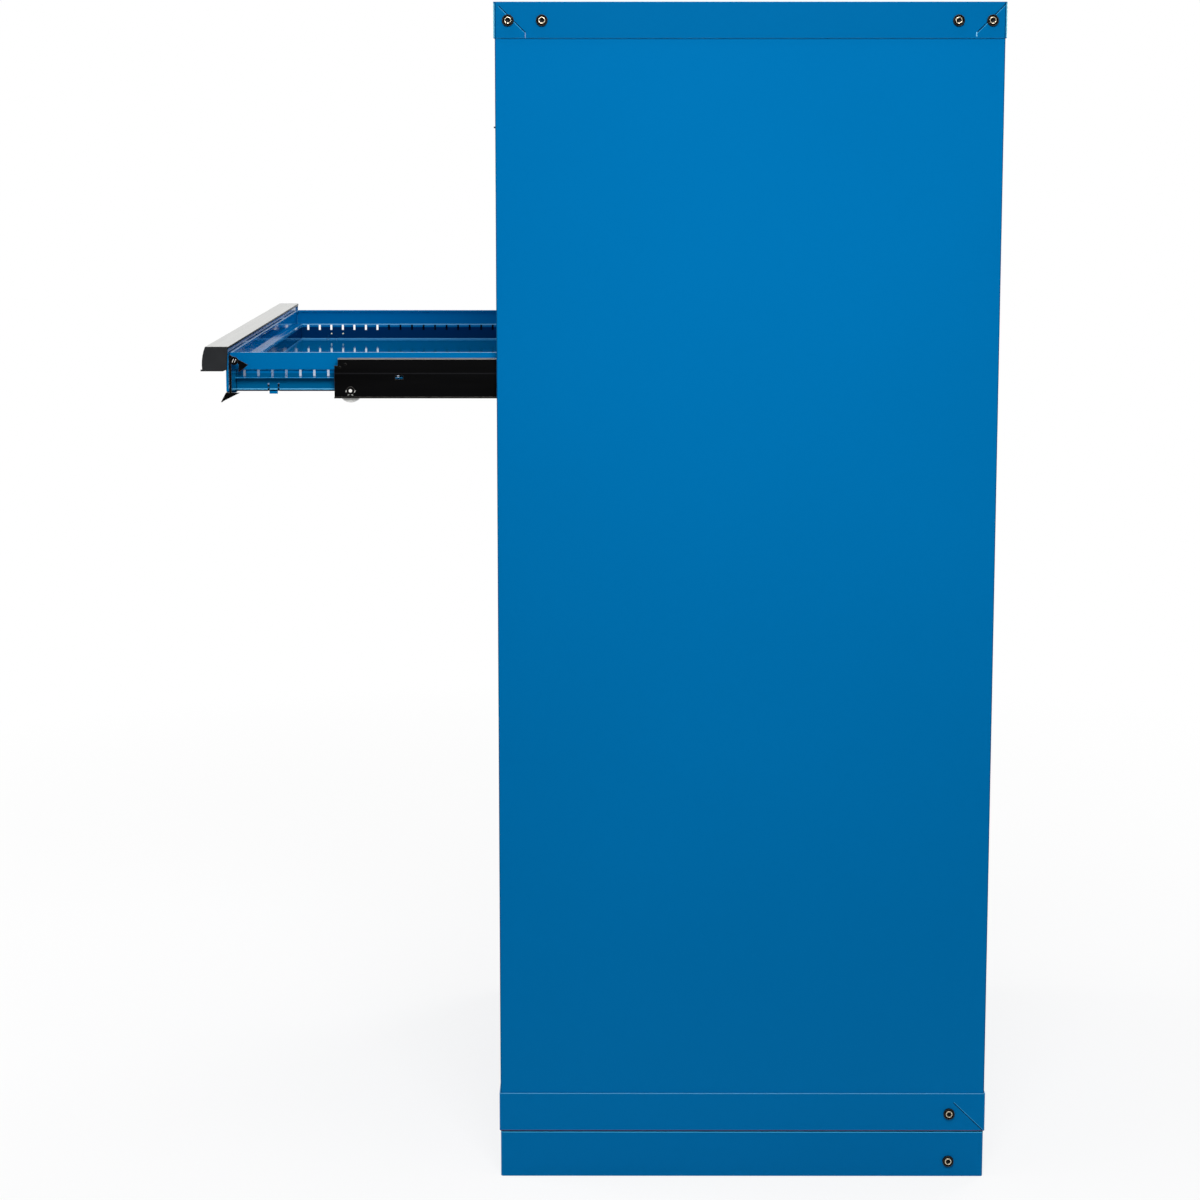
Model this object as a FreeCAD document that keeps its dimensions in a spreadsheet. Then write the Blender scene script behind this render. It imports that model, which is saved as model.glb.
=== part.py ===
"""Modular drawer cabinet: a tall sheet-steel housing with seven full-width drawers.

Frame: +Z up, the drawers open towards -Y, origin on the floor under the middle of the
housing. All sizes are millimetres. The fourth drawer stands part way open, and the second
one is a few millimetres proud, as in the photograph. The rest are closed.
"""
import FreeCAD, Part
import Sketcher
import math
import os
import re

Vector = FreeCAD.Vector

SIZES = {
    # Housing
    "cabinet_width": 762, "cabinet_depth": 624, "cabinet_height": 1500,
    "panel_gauge": 1.5, "hem_width": 12, "rear_flange": 20, "lap_clearance": 0.3,
    "cap_gauge": 1.5, "cap_skirt": 44, "pan_gauge": 1.2, "pan_skirt": 49,
    "base_height": 62, "base_gauge": 2, "base_lip": 30, "inside_radius": 0.9,
    "anchor_inset_end": 70, "anchor_hole": 13,
    # Uprights with their rack of hook slots
    "post_depth": 3.5, "post_gauge": 1.5, "post_width": 40, "front_post_inset": 62,
    "rear_post_inset": 64, "post_top_gap": 4, "rack_pitch": 25, "rack_slot_high": 14,
    "rack_slot_wide": 4,
    # Stack of drawer modules from the top down, of which the lowest takes what is left
    "stack_top_gap": 3.5, "stack_low_gap": 2.8, "module_1": 75, "module_2": 150,
    "module_3": 150, "module_4": 75, "module_5": 200, "module_6": 300,
    "opening_1": 0, "opening_2": 2.7, "opening_3": 0, "opening_4": 369.5,
    "opening_5": 0, "opening_6": 0, "opening_7": 0,
    "member_ratio": 0.68,
    # Drawer front, handle and end caps
    "handle_recess": 1, "side_reveal": 1, "front_depth": 3, "front_gauge": 1.2,
    "front_lift": 19, "seat_clearance": 0.2, "stay_offset": 200, "stay_width": 24,
    "handle_reach": 31, "handle_crown": 25, "handle_drop": 30.5, "handle_gauge": 1.8,
    "handle_hook": 3.3, "handle_lip": 2, "handle_bow": 60, "end_cap_width": 3.5,
    # Tray
    "tray_back_gap": 29, "tray_gauge": 1.2, "tray_drop": 8.5, "tray_rise": 17.7,
    "floor_rise": 3.6, "ledge_rise": 34.8, "joggle_rise": 45, "joggle": 3,
    "front_joggle": 7, "rib_width": 11, "rim_width": 3, "tray_clearance": 1,
    "slot_pitch": 17.5, "slot_wide": 3, "slot_margin": 0.5, "keeper_length": 20,
    "keeper_width": 8,
    "tab_place": 48.4, "tab_width": 10.4, "tab_slit": 2.2, "tab_drop": 3.4, "tab_height": 10,
    # Latch bar across each front
    "latch_gauge": 2, "latch_clearance": 1, "latch_gap": 1, "latch_strip": 2.5,
    "latch_tip_rise": 5.3, "latch_foot_rise": 17.3, "latch_reach": 7.2, "latch_heel": 16.8,
    "latch_sheet": 1.5, "latch_lap": 0.8, "latch_arm": 15.8, "latch_wing": 28,
    "latch_shoulder": 3, "latch_crown": 7.8, "latch_arm_drop": 4.4, "latch_wing_drop": 5.3,
    "latch_wing_low": 14.3, "pivot_back": 10.2, "pivot_rise": 57.4, "pivot_radius": 2.5,
    "pivot_clearance": 0.05,
    # Telescopic slide: channel on the uprights, member with a roller at its front
    "channel_gauge": 1.5, "channel_flange": 7.2, "channel_front": 50, "channel_back": 19,
    "slide_clearance": 0.3, "member_gauge": 1.5, "member_height": 49.4,
    "member_rise": 10.4, "member_inset": 48.3, "member_back": 23.7, "member_flange": 11.5,
    "member_foot": 3.5, "member_notch": 4.4, "member_notch_high": 8.8,
    "window_place": 76, "window_long": 10, "window_drop": 26, "window_high": 5,
    "roller_radius": 15, "roller_width": 8, "roller_gap": 0.8, "roller_back": 20,
    "roller_clearance": 0.2, "axle_radius": 3, "axle_clearance": 0.05, "axle_head": 5,
    "axle_head_high": 0.8, "axle_stub": 1, "roller_chamfer": 1,
    # Fasteners
    "screw_head": 7, "screw_head_high": 4, "screw_flat": 4, "screw_dome": 6.3,
    "screw_socket": 3, "screw_socket_deep": 2.6,
    "screw_shank": 4, "screw_length": 6, "screw_hole_clearance": 0.3,
    "cap_screw_drop": 22.5, "cap_screw_near": 16.2, "cap_screw_far": 57.6,
    "low_screw_inset": 45, "pan_screw_rise": 85, "base_screw_rise": 20.6,
    # Key lock and its lift bar
    "lock_inset": 51, "keyway_wide": 2, "lock_radius": 9.5, "lock_head": 12, "lock_head_high": 1,
    "lock_body": 22, "lock_cam_long": 19, "lock_cam_wide": 10, "lock_cam_gauge": 2,
    "lock_clearance": 0.1, "bar_wide": 4.5, "bar_gauge": 3, "bar_back": 40, "bar_side_gap": 0.8,
    "bar_lift": 8, "bar_arm_high": 4, "bar_clearance": 0.5,
}

doc = FreeCAD.newDocument("DrawerCabinet")
sheet = doc.addObject("Spreadsheet::Sheet", "Sizes")
for row, (alias, size) in enumerate(SIZES.items(), start=1):
    sheet.set(f"A{row}", alias)
    sheet.set(f"B{row}", str(size))
    sheet.setAlias(f"B{row}", alias)
doc.recompute()


def bound(text):
    """The text of a size with every alias in it pointed at the sheet."""
    return re.sub(r"\b[a-z]\w*", lambda found: "Sizes." + found.group(0), str(text))


def value(text):
    """The number that an expression of aliases has now."""
    return float(sheet.evalExpression(bound(text)))


def box(name, x, y, z):
    """A block between two expressions along each axis."""
    block = doc.addObject("Part::Box", name)
    for side, axis, (low, high) in zip(("Length", "Width", "Height"), "xyz", (x, y, z)):
        block.setExpression(side, bound(f"({high}) - ({low})"))
        block.setExpression("Placement.Base." + axis, bound(low))
    return block


def rod(name, radius, centre, length, turn):
    """A cylinder from centre, along +Z turned by an (axis, angle)."""
    post = doc.addObject("Part::Cylinder", name)
    post.setExpression("Radius", bound(radius))
    post.setExpression("Height", bound(length))
    post.Placement.Rotation = FreeCAD.Rotation(*turn)
    for axis, text in zip("xyz", centre):
        post.setExpression("Placement.Base." + axis, bound(text))
    return post


TO_X = (Vector(0, 1, 0), 90)
TO_FRONT = (Vector(1, 0, 0), 90)


def fuse(name, pieces, refine=True):
    joined = doc.addObject("Part::MultiFuse", name)
    joined.Shapes = pieces
    joined.Refine = refine
    return joined


def group(name, pieces):
    """Separate solids that share one node."""
    together = doc.addObject("Part::Compound", name)
    together.Links = pieces
    return together


def cut(name, base, tool):
    left = doc.addObject("Part::Cut", name)
    left.Base = base
    left.Tool = tool
    return left


def mirrored(name, source):
    """The same piece on the other side of the cabinet."""
    other = doc.addObject("Part::Mirroring", name)
    other.Source = source
    other.Normal = Vector(1, 0, 0)
    return other


def place(piece, x="0", y="0", z="0"):
    for axis, text in zip("xyz", (x, y, z)):
        piece.setExpression("Placement.Base." + axis, bound(text))
    return piece


def origin_plane(body, role):
    return next(plane for plane in body.Origin.OriginFeatures if plane.Role == role)


def outline_sketch(body, name, role, corners, arcs=()):
    """A closed outline whose corners are bound to expressions, with arcs on some edges.

    arcs holds (edge number, radius): that edge is an arc bulging to its right-hand side.
    """
    sketch = body.newObject("Sketcher::SketchObject", name)
    sketch.AttachmentSupport = (origin_plane(body, role), [""])
    sketch.MapMode = "FlatFace"
    points = [Vector(value(u), value(v), 0) for u, v in corners]
    radii = dict(arcs)
    count = len(points)
    for edge in range(count):
        start, end = points[edge], points[(edge + 1) % count]
        if edge not in radii:
            sketch.addGeometry(Part.LineSegment(start, end), False)
            continue
        chord = end - start
        radius = value(radii[edge])
        sagitta = radius - math.sqrt(radius ** 2 - (chord.Length / 2) ** 2)
        outward = Vector(chord.y, -chord.x, 0).normalize()
        middle = (start + end) * 0.5 + outward * sagitta
        sketch.addGeometry(Part.Arc(start, middle, end), False)
    # An arc keeps its ends in turning order, so each edge's own start is looked up
    ends = []
    for edge in range(count):
        line = sketch.Geometry[edge]
        forward = line.StartPoint.distanceToPoint(points[edge]) < 1e-6
        ends.append((1, 2) if forward else (2, 1))
    for edge in range(count):
        following = (edge + 1) % count
        sketch.addConstraint(Sketcher.Constraint(
            "Coincident", edge, ends[edge][1], following, ends[following][0]))
    for edge, (u, v) in enumerate(corners):
        for kind, text in (("DistanceX", u), ("DistanceY", v)):
            number = sketch.addConstraint(Sketcher.Constraint(
                kind, -1, 1, edge, ends[edge][0], value(text)))
            sketch.setExpression(f"Constraints[{number}]", bound(text))
    for edge, text in radii.items():
        number = sketch.addConstraint(Sketcher.Constraint("Radius", edge, value(text)))
        sketch.setExpression(f"Constraints[{number}]", bound(text))
    return sketch


def pad(body, sketch, length):
    feature = body.newObject("PartDesign::Pad", sketch.Name + "Pad")
    feature.Profile = sketch
    feature.setExpression("Length", bound(length))
    sketch.Visibility = False
    body.Tip = feature
    return feature


def extrusion(name, corners, length, arcs=()):
    """A body whose outline lies in the YZ plane and that runs along +X."""
    body = doc.addObject("PartDesign::Body", name)
    pad(body, outline_sketch(body, name + "Outline", "YZ_Plane", corners, arcs), length)
    return body


# Planes that pieces share, as expressions of the sheet's sizes
FRONT = "(-cabinet_depth / 2)"
BACK = "(cabinet_depth / 2)"
SIDE = "(cabinet_width / 2)"
PANEL_IN = f"({SIDE} - panel_gauge)"
POST_IN = f"({PANEL_IN} - post_depth)"
CHANNEL_IN = f"({POST_IN} - channel_gauge)"
PLATE_OUT = f"({CHANNEL_IN} - latch_clearance)"
PLATE_IN = f"({PLATE_OUT} - latch_gauge)"
MEMBER_OUT = f"({PLATE_IN} - latch_clearance)"
MEMBER_IN = f"({MEMBER_OUT} - member_gauge)"
ROLLER_OUT = f"({MEMBER_IN} - roller_gap)"
ROLLER_IN = f"({ROLLER_OUT} - roller_width)"
TRAY_OUT = f"({MEMBER_OUT} - member_flange - tray_clearance)"
TRAY_LOW_OUT = f"({TRAY_OUT} - joggle)"
CAP_OUT = f"({PANEL_IN} - panel_gauge - side_reveal)"
FRONT_HALF = f"({CAP_OUT} - end_cap_width)"
PAN_FLOOR = "(base_height + pan_gauge)"
CAP_UNDER = "(cabinet_height - cap_gauge)"
CLOSED_FACE = f"({FRONT} + handle_recess + handle_reach)"
TRAY_DEPTH = f"({BACK} - tray_back_gap - {CLOSED_FACE} - front_depth)"
MEMBER_LENGTH = "(cabinet_depth - member_inset - member_back)"
STACK_TOP = "(cabinet_height - cap_skirt - stack_top_gap)"
STACK_LOW = f"({PAN_FLOOR} + pan_skirt + stack_low_gap)"
LOCK_AT = f"({SIDE} - lock_inset)"

MODULES = range(1, 8)
nodes = []


def node(piece, label):
    """Names a finished sub-part after its file."""
    piece.Label = label
    nodes.append(piece)
    return piece


def module_top(number):
    above = " - ".join([STACK_TOP] + [f"module_{i}" for i in range(1, number)])
    return f"({above})"


def module_low(number):
    if number == MODULES[-1]:
        return STACK_LOW
    return f"({module_top(number)} - module_{number})"


def face_plane(number):
    """Outer plane of a drawer front at rest."""
    return f"({CLOSED_FACE} - opening_{number})"


def member_front(number):
    """Front end of a drawer's slide members at rest."""
    return f"({FRONT} + member_inset - member_ratio * opening_{number})"


def roller_centre(number):
    along = f"({member_front(number)} + roller_back)"
    height = f"({module_low(number)} + ledge_rise - roller_clearance - roller_radius)"
    return along, height


def rounded_block(name, x, y, z, radius):
    """A block with its four upright edges rounded, as folded corners are."""
    block = box(name + "Block", x, y, z)
    doc.recompute()
    upright = [
        (index, value(radius), value(radius))
        for index, edge in enumerate(block.Shape.Edges, start=1)
        if abs(edge.tangentAt(edge.FirstParameter).z) > 0.99
    ]
    rounded = doc.addObject("Part::Fillet", name)
    rounded.Base = block
    rounded.Edges = upright
    return rounded


# Screws: where each one goes, on both sides of the housing
SCREWS = [
    (f"({FRONT} + cap_screw_near)", "(cabinet_height - cap_screw_drop)", "cap"),
    (f"({FRONT} + cap_screw_far)", "(cabinet_height - cap_screw_drop)", "cap"),
    (f"({BACK} - cap_screw_near)", "(cabinet_height - cap_screw_drop)", "cap"),
    (f"({BACK} - cap_screw_far)", "(cabinet_height - cap_screw_drop)", "cap"),
    (f"({BACK} - low_screw_inset)", "pan_screw_rise", "pan"),
    (f"({BACK} - low_screw_inset)", "base_screw_rise", "base"),
]
SEAT = {
    "cap": f"({SIDE} + lap_clearance + cap_gauge)",
    "pan": f"({SIDE} + lap_clearance + pan_gauge)",
    "base": SIDE,
}


def screw_holes(name, kinds):
    """Clearance holes right through both sides for the screws of some kinds."""
    drills = []
    for number, (y, z, kind) in enumerate(SCREWS):
        if kind in kinds:
            reach = f"({SEAT[kind]} + screw_head)"
            drills.append(rod(
                f"{name}Drill{number}", "screw_shank + screw_hole_clearance",
                (f"-{reach}", y, z), f"2 * {reach}", TO_X))
    return group(name + "Drills", drills)


def housing():
    # Side panels: a sheet with a hem at the front and a return flange at the back
    sheet_z = (f"{PAN_FLOOR} + seat_clearance", f"{CAP_UNDER} - seat_clearance")
    right = fuse("PanelRaw", [
        box("PanelSheet", (PANEL_IN, SIDE), (FRONT, BACK), sheet_z),
        box("PanelHem", (f"{PANEL_IN} - panel_gauge", PANEL_IN),
            (FRONT, f"{FRONT} + hem_width"),
            (f"{PAN_FLOOR} + pan_skirt", "cabinet_height - cap_skirt")),
        box("PanelFlange", (f"{PANEL_IN} - rear_flange", PANEL_IN),
            (f"{BACK} - panel_gauge", BACK), sheet_z),
    ])
    drilled = cut("PanelRight", right, screw_holes("Panel", ("cap", "pan")))
    node(drilled, "side_panel_right")
    node(mirrored("PanelLeft", drilled), "side_panel_left")
    node(box("BackPanel", (f"-{PANEL_IN} + lap_clearance", f"{PANEL_IN} - lap_clearance"),
             (f"{BACK} - 2 * panel_gauge", f"{BACK} - panel_gauge"), sheet_z), "back_panel")

    # Top cap: a lid whose skirt laps over the panels
    over = "(lap_clearance + cap_gauge)"
    lid = rounded_block(
        "CapOuter", (f"-{SIDE} - {over}", f"{SIDE} + {over}"),
        (f"{FRONT} - {over}", f"{BACK} + {over}"),
        ("cabinet_height - cap_skirt", "cabinet_height"), "inside_radius + cap_gauge")
    hollow = rounded_block(
        "CapInner", (f"-{SIDE} - lap_clearance", f"{SIDE} + lap_clearance"),
        (f"{FRONT} - lap_clearance", f"{BACK} + lap_clearance"),
        ("cabinet_height - cap_skirt - cap_gauge", CAP_UNDER), "inside_radius")
    keyhole = rod("CapKeyhole", "lock_radius + lock_clearance",
                  (LOCK_AT, f"{FRONT} + cap_skirt", "cabinet_height - cap_screw_drop"),
                  "2 * cap_skirt", TO_FRONT)
    shell = cut("CapShell", lid, hollow)
    holes = group("CapHoles", [screw_holes("Cap", ("cap",)), keyhole])
    node(cut("TopCap", shell, holes), "top_cap")

    # Bottom pan: a floor with its skirt turned up outside the panels
    over = "(lap_clearance + pan_gauge)"
    tub = rounded_block(
        "PanOuter", (f"-{SIDE} - {over}", f"{SIDE} + {over}"),
        (f"{FRONT} - {over}", f"{BACK} + {over}"),
        ("base_height", f"{PAN_FLOOR} + pan_skirt"), "inside_radius + pan_gauge")
    hollow = rounded_block(
        "PanInner", (f"-{SIDE} - lap_clearance", f"{SIDE} + lap_clearance"),
        (f"{FRONT} - lap_clearance", f"{BACK} + lap_clearance"),
        (PAN_FLOOR, f"{PAN_FLOOR} + 2 * pan_skirt"), "inside_radius")
    node(cut("BottomPan", cut("PanShell", tub, hollow), screw_holes("Pan", ("pan",))),
         "bottom_pan")

    # Base: an open plinth with a lip turned in at the floor for the anchors
    walls = rounded_block("BaseOuter", (f"-{SIDE}", SIDE), (FRONT, BACK),
                          ("0", "base_height"), "inside_radius + base_gauge")
    inside = box("BaseInner", (f"-{SIDE} + base_gauge", f"{SIDE} - base_gauge"),
                 (f"{FRONT} + base_gauge", f"{BACK} - base_gauge"),
                 ("base_gauge", "base_height - base_gauge"))
    through = box("BaseThrough", (f"-{SIDE} + base_lip", f"{SIDE} - base_lip"),
                  (f"{FRONT} + base_lip", f"{BACK} - base_lip"),
                  ("-base_gauge", "base_height + base_gauge"))
    ends = []
    for side in ("-", ""):
        for far in (f"({FRONT} + anchor_inset_end)", f"({BACK} - anchor_inset_end)"):
            ends.append(rod("AnchorHole", "anchor_hole / 2",
                            (f"{side}({SIDE} - base_lip / 2)", far, "-base_gauge"),
                            "3 * base_gauge", (Vector(0, 0, 1), 0)))
    open_walls = cut("BaseShell", walls, fuse("BaseVoid", [inside, through]))
    holes = group("BaseHoles", ends + [screw_holes("Base", ("base",))])
    node(cut("Base", open_walls, holes), "base")


def uprights():
    """Four folded posts on the side panels, with a rack of slots for the channels."""
    post_z = (f"{PAN_FLOOR} + seat_clearance", "cabinet_height - cap_skirt - post_top_gap")
    low = value(post_z[0]) + value("rack_pitch")
    count = int((value(post_z[1]) - low) / value("rack_pitch"))
    wide, tall = value("rack_slot_wide"), value("rack_slot_high")
    base, top = value(post_z[0]), value(post_z[1])
    posts = []
    for name, near in (("Front", f"({FRONT} + front_post_inset)"),
                       ("Rear", f"({BACK} - rear_post_inset - post_width)")):
        far = f"({near} + post_width)"
        start, end = value(near), value(far)
        outline = [(start, base), (end, base), (end, top), (start, top)]
        rack = [((start + end - wide) / 2, low + step * value("rack_pitch"), wide, tall)
                for step in range(count)]
        web = slotted_plate(name + "Web", outline, rack, ("x", value(POST_IN)),
                            value("post_gauge"))
        legs = [
            box(name + "LegA", (f"{POST_IN} + post_gauge", PANEL_IN),
                (near, f"{near} + post_gauge"), post_z),
            box(name + "LegB", (f"{POST_IN} + post_gauge", PANEL_IN),
                (f"{far} - post_gauge", far), post_z),
        ]
        post = fuse(name + "Post", [web] + legs)
        posts += [post, mirrored(name + "PostLeft", post)]
    node(group("Uprights", posts), "uprights")


def channels():
    """A fixed channel on each side of every module, facing the drawers."""
    solids = []
    run = (f"{FRONT} + channel_front", f"{BACK} - channel_back")
    for number in MODULES:
        low = f"({module_low(number)} + member_rise - slide_clearance - channel_gauge)"
        high = f"({low} + member_height + 2 * slide_clearance + 2 * channel_gauge)"
        inner = f"{POST_IN} - channel_flange"
        right = fuse(f"Channel{number}", [
            box(f"ChannelWeb{number}", (CHANNEL_IN, POST_IN), run, (low, high)),
            box(f"ChannelFoot{number}", (inner, POST_IN), run, (low, f"{low} + channel_gauge")),
            box(f"ChannelHead{number}", (inner, POST_IN), run, (f"{high} - channel_gauge", high)),
        ])
        solids += [right, mirrored(f"ChannelLeft{number}", right)]
    node(group("CabinetChannels", solids), "cabinet_channels")


def screws():
    """Button-head socket screws through the skirts and the base, heads outside."""
    solids = []
    for number, (y, z, kind) in enumerate(SCREWS):
        body = doc.addObject("PartDesign::Body", f"Screw{number}")
        profile = outline_sketch(body, f"ScrewProfile{number}", "XZ_Plane", [
            ("0", "0"), ("screw_shank", "0"), ("screw_shank", "screw_length"),
            ("screw_head", "screw_length"), ("screw_flat", "screw_length + screw_head_high"),
            ("0", "screw_length + screw_head_high")], [(3, "screw_dome")])
        turned = body.newObject("PartDesign::Revolution", f"ScrewTurned{number}")
        turned.Profile = profile
        turned.ReferenceAxis = (profile, ["V_Axis"])
        turned.Angle = 360
        body.Tip = turned
        body.Placement.Rotation = FreeCAD.Rotation(Vector(0, 1, 0), 90)
        place(body, f"{SEAT[kind]} - screw_length", y, z)
        socket = doc.addObject("Part::Prism", f"ScrewSocket{number}")
        socket.Polygon = 6
        socket.setExpression("Circumradius", bound("screw_socket"))
        socket.setExpression("Height", bound("2 * screw_socket_deep"))
        socket.Placement.Rotation = FreeCAD.Rotation(Vector(0, 1, 0), 90)
        place(socket, f"{SEAT[kind]} + screw_head_high - screw_socket_deep", y, z)
        screw = cut(f"ScrewCut{number}", body, socket)
        solids += [screw, mirrored(f"ScrewLeft{number}", screw)]
    node(group("HousingScrews", solids), "housing_screws")


def lock():
    """Key cylinder in the cap's front skirt, with its cam, and the bar that it lifts."""
    level = "(cabinet_height - cap_screw_drop)"
    skin = f"({FRONT} - lap_clearance - cap_gauge)"
    head = rod("LockHead", "lock_head", (LOCK_AT, skin, level), "lock_head_high", TO_FRONT)
    barrel = rod("LockBarrel", "lock_radius", (LOCK_AT, f"{skin} + lock_body", level),
                 "lock_body", TO_FRONT)
    slit = box("LockKeyway", (f"{LOCK_AT} - keyway_wide / 2", f"{LOCK_AT} + keyway_wide / 2"),
               (f"{skin} - 2 * lock_head_high", f"{skin} + lock_head_high"),
               (f"{level} - lock_radius / 2", f"{level} + lock_radius / 2"))
    cam = box("LockCam", (f"{LOCK_AT} - lock_cam_wide / 2", f"{LOCK_AT} + lock_cam_long"),
              (f"{skin} + lock_body", f"{skin} + lock_body + lock_cam_gauge"),
              (f"{level} - lock_cam_wide / 2", f"{level} + lock_cam_wide / 2"))
    node(cut("LockCylinder", fuse("LockRaw", [head, barrel, cam]), slit), "lock_cylinder")
    outer = f"({PANEL_IN} - bar_side_gap)"
    back = f"({FRONT} + bar_back + bar_wide)"
    top = f"({level} - lock_cam_wide / 2 - bar_lift - bar_clearance)"
    node(fuse("LockBarWhole", [
        box("LockBarUpright", (f"{outer} - bar_gauge", outer), (f"{FRONT} + bar_back", back),
            (f"{PAN_FLOOR} + bar_lift", top)),
        box("LockBarArm", (f"{LOCK_AT} + lock_cam_wide", outer), (f"{skin} + lock_body", back),
            (f"{top} - bar_arm_high", top)),
    ]), "lock_bar")


def slotted_plate(name, outline, holes, across, gauge):
    """A sheet standing across X or Y, cut to an outline and pierced by rectangular slots.

    outline lists (along, z) corners, holes lists (along, z, wide, tall) low corners, and
    across is the low face's place on the axis that the sheet stands across.
    """
    plate_axis, face_place = across

    def spot(along, z):
        return Vector(face_place, along, z) if plate_axis == "x" else Vector(along, face_place, z)

    def loop(corners):
        points = [spot(*corner) for corner in corners]
        return Part.makePolygon(points + points[:1])

    wires = [loop(outline)]
    for along, z, wide, tall in holes:
        wires.append(loop([(along, z), (along + wide, z), (along + wide, z + tall),
                           (along, z + tall)]))
    face = Part.makeFace(wires, "Part::FaceMakerBullseye")
    push = Vector(gauge, 0, 0) if plate_axis == "x" else Vector(0, gauge, 0)
    plate = doc.addObject("Part::Feature", name)
    plate.Shape = face.extrude(push)
    return plate


def lower_walls(number):
    """The tray's stepped-in lower walls: partition slots all round, a hanging tab each side."""
    gauge, pitch, wide = value("tray_gauge"), value("slot_pitch"), value("slot_wide")
    low, half = value(module_low(number)), value(TRAY_LOW_OUT)
    inside = value(f"{face_plane(number)} + front_depth")
    near, far = inside + value("front_joggle"), inside + value(TRAY_DEPTH)
    bottom, top = low + value("tray_rise"), low + value("joggle_rise") + gauge
    slot_low = low + value("ledge_rise") + gauge + value("slot_margin")
    tall = top - gauge - value("slot_margin") - slot_low
    drop, slit = value("tab_drop"), value("tab_slit")
    tab = inside + value("tab_place")
    tab_end = tab + value("tab_width")
    above = bottom + value("tab_height")
    side_outline = [
        (near, bottom), (tab - slit, bottom), (tab - slit, above), (tab, above),
        (tab, bottom - drop), (tab_end, bottom - drop), (tab_end, above),
        (tab_end + slit, above), (tab_end + slit, bottom), (far, bottom), (far, top),
        (near, top)]
    side_slots = [(inside + step * pitch - wide / 2, slot_low, wide, tall)
                  for step in range(1, int((far - inside) / pitch))]
    end_outline = [(-half + gauge, bottom), (half - gauge, bottom), (half - gauge, top),
                   (-half + gauge, top)]
    across = int((half - pitch / 2) / pitch)
    end_slots = [(step * pitch - wide / 2, slot_low, wide, tall)
                 for step in range(-across, across + 1)]
    return [
        slotted_plate(f"LowerRight{number}", side_outline, side_slots, ("x", half - gauge), gauge),
        slotted_plate(f"LowerLeft{number}", side_outline, side_slots, ("x", -half), gauge),
        slotted_plate(f"LowerFront{number}", end_outline, end_slots, ("y", near), gauge),
        slotted_plate(f"LowerBack{number}", end_outline, end_slots, ("y", far - gauge), gauge),
    ]


def ring(name, half, near, far, z):
    """Four upright walls of tray sheet round a rectangle."""
    outer = box(name + "Outer", (f"-{half}", half), (near, far), z)
    inner = box(name + "Inner", (f"-{half} + tray_gauge", f"{half} - tray_gauge"),
                (f"{near} + tray_gauge", f"{far} - tray_gauge"),
                (f"{z[0]} - tray_gauge", f"{z[1]} + tray_gauge"))
    return cut(name, outer, inner)


def tray(number):
    """Folded steel tray: lower walls stepped in under a ledge, a rail outside, slots between."""
    low, top = module_low(number), module_top(number)
    near = f"({face_plane(number)} + front_depth)"
    far = f"({near} + {TRAY_DEPTH})"
    step_z = f"({low} + joggle_rise)"
    rail_z = f"({low} + ledge_rise)"
    upper = ring(f"TrayUpper{number}", TRAY_OUT, near, far, (step_z, f"{top} - tray_drop"))
    ledge = cut(f"TrayLedge{number}",
                box(f"LedgeOuter{number}", (f"-{TRAY_OUT}", TRAY_OUT), (near, far),
                    (step_z, f"{step_z} + tray_gauge")),
                box(f"LedgeInner{number}",
                    (f"-{TRAY_LOW_OUT} + tray_gauge", f"{TRAY_LOW_OUT} - tray_gauge"),
                    (f"{near} + front_joggle + tray_gauge", f"{far} - tray_gauge"),
                    (f"{step_z} - tray_gauge", f"{step_z} + 2 * tray_gauge")))
    rim = cut(f"TrayRim{number}",
              box(f"RimOuter{number}", (f"-{TRAY_OUT}", TRAY_OUT), (near, far),
                  (f"{top} - tray_drop - rim_width", f"{top} - tray_drop")),
              box(f"RimInner{number}", (f"-{TRAY_OUT} + rim_width", f"{TRAY_OUT} - rim_width"),
                  (f"{near} + rim_width", f"{far} - rim_width"),
                  (f"{top} - tray_drop - 2 * rim_width", top)))
    floor = box(f"TrayFloor{number}",
                (f"-{TRAY_LOW_OUT} + tray_gauge", f"{TRAY_LOW_OUT} - tray_gauge"),
                (f"{near} + front_joggle + tray_gauge", f"{far} - tray_gauge"),
                (f"{low} + tray_rise + floor_rise", f"{low} + tray_rise + floor_rise + tray_gauge"))
    sides = []
    for side, sign in (("R", 1), ("L", -1)):
        def span(inner, outer):
            return (inner, outer) if sign > 0 else (f"-({outer})", f"-({inner})")
        sides += [
            box(f"TrayRail{side}{number}",
                span(TRAY_LOW_OUT, f"{TRAY_LOW_OUT} + rib_width"),
                (f"{near} + front_joggle", far), (rail_z, f"{rail_z} + tray_gauge")),
            box(f"TrayKeeper{side}{number}",
                span(f"{TRAY_OUT} - tray_gauge", f"{TRAY_OUT} + keeper_width"),
                (f"{far} - keeper_length", far),
                (f"{step_z} + 2 * tray_gauge",
                 f"{low} + member_rise + member_height - member_gauge - slide_clearance")),
            rod(f"TrayPivot{side}{number}", "pivot_radius",
                (f"{TRAY_OUT} - tray_gauge" if sign > 0 else f"-{PLATE_OUT}",
                 f"{face_plane(number)} + pivot_back", f"{low} + pivot_rise"),
                f"{PLATE_OUT} - {TRAY_OUT} + tray_gauge", TO_X),
        ]
    sheets = lower_walls(number) + [upper, ledge, rim, floor]
    node(fuse(f"Tray{number}", sheets + sides, refine=False), f"drawer_{number}_tray")


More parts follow.
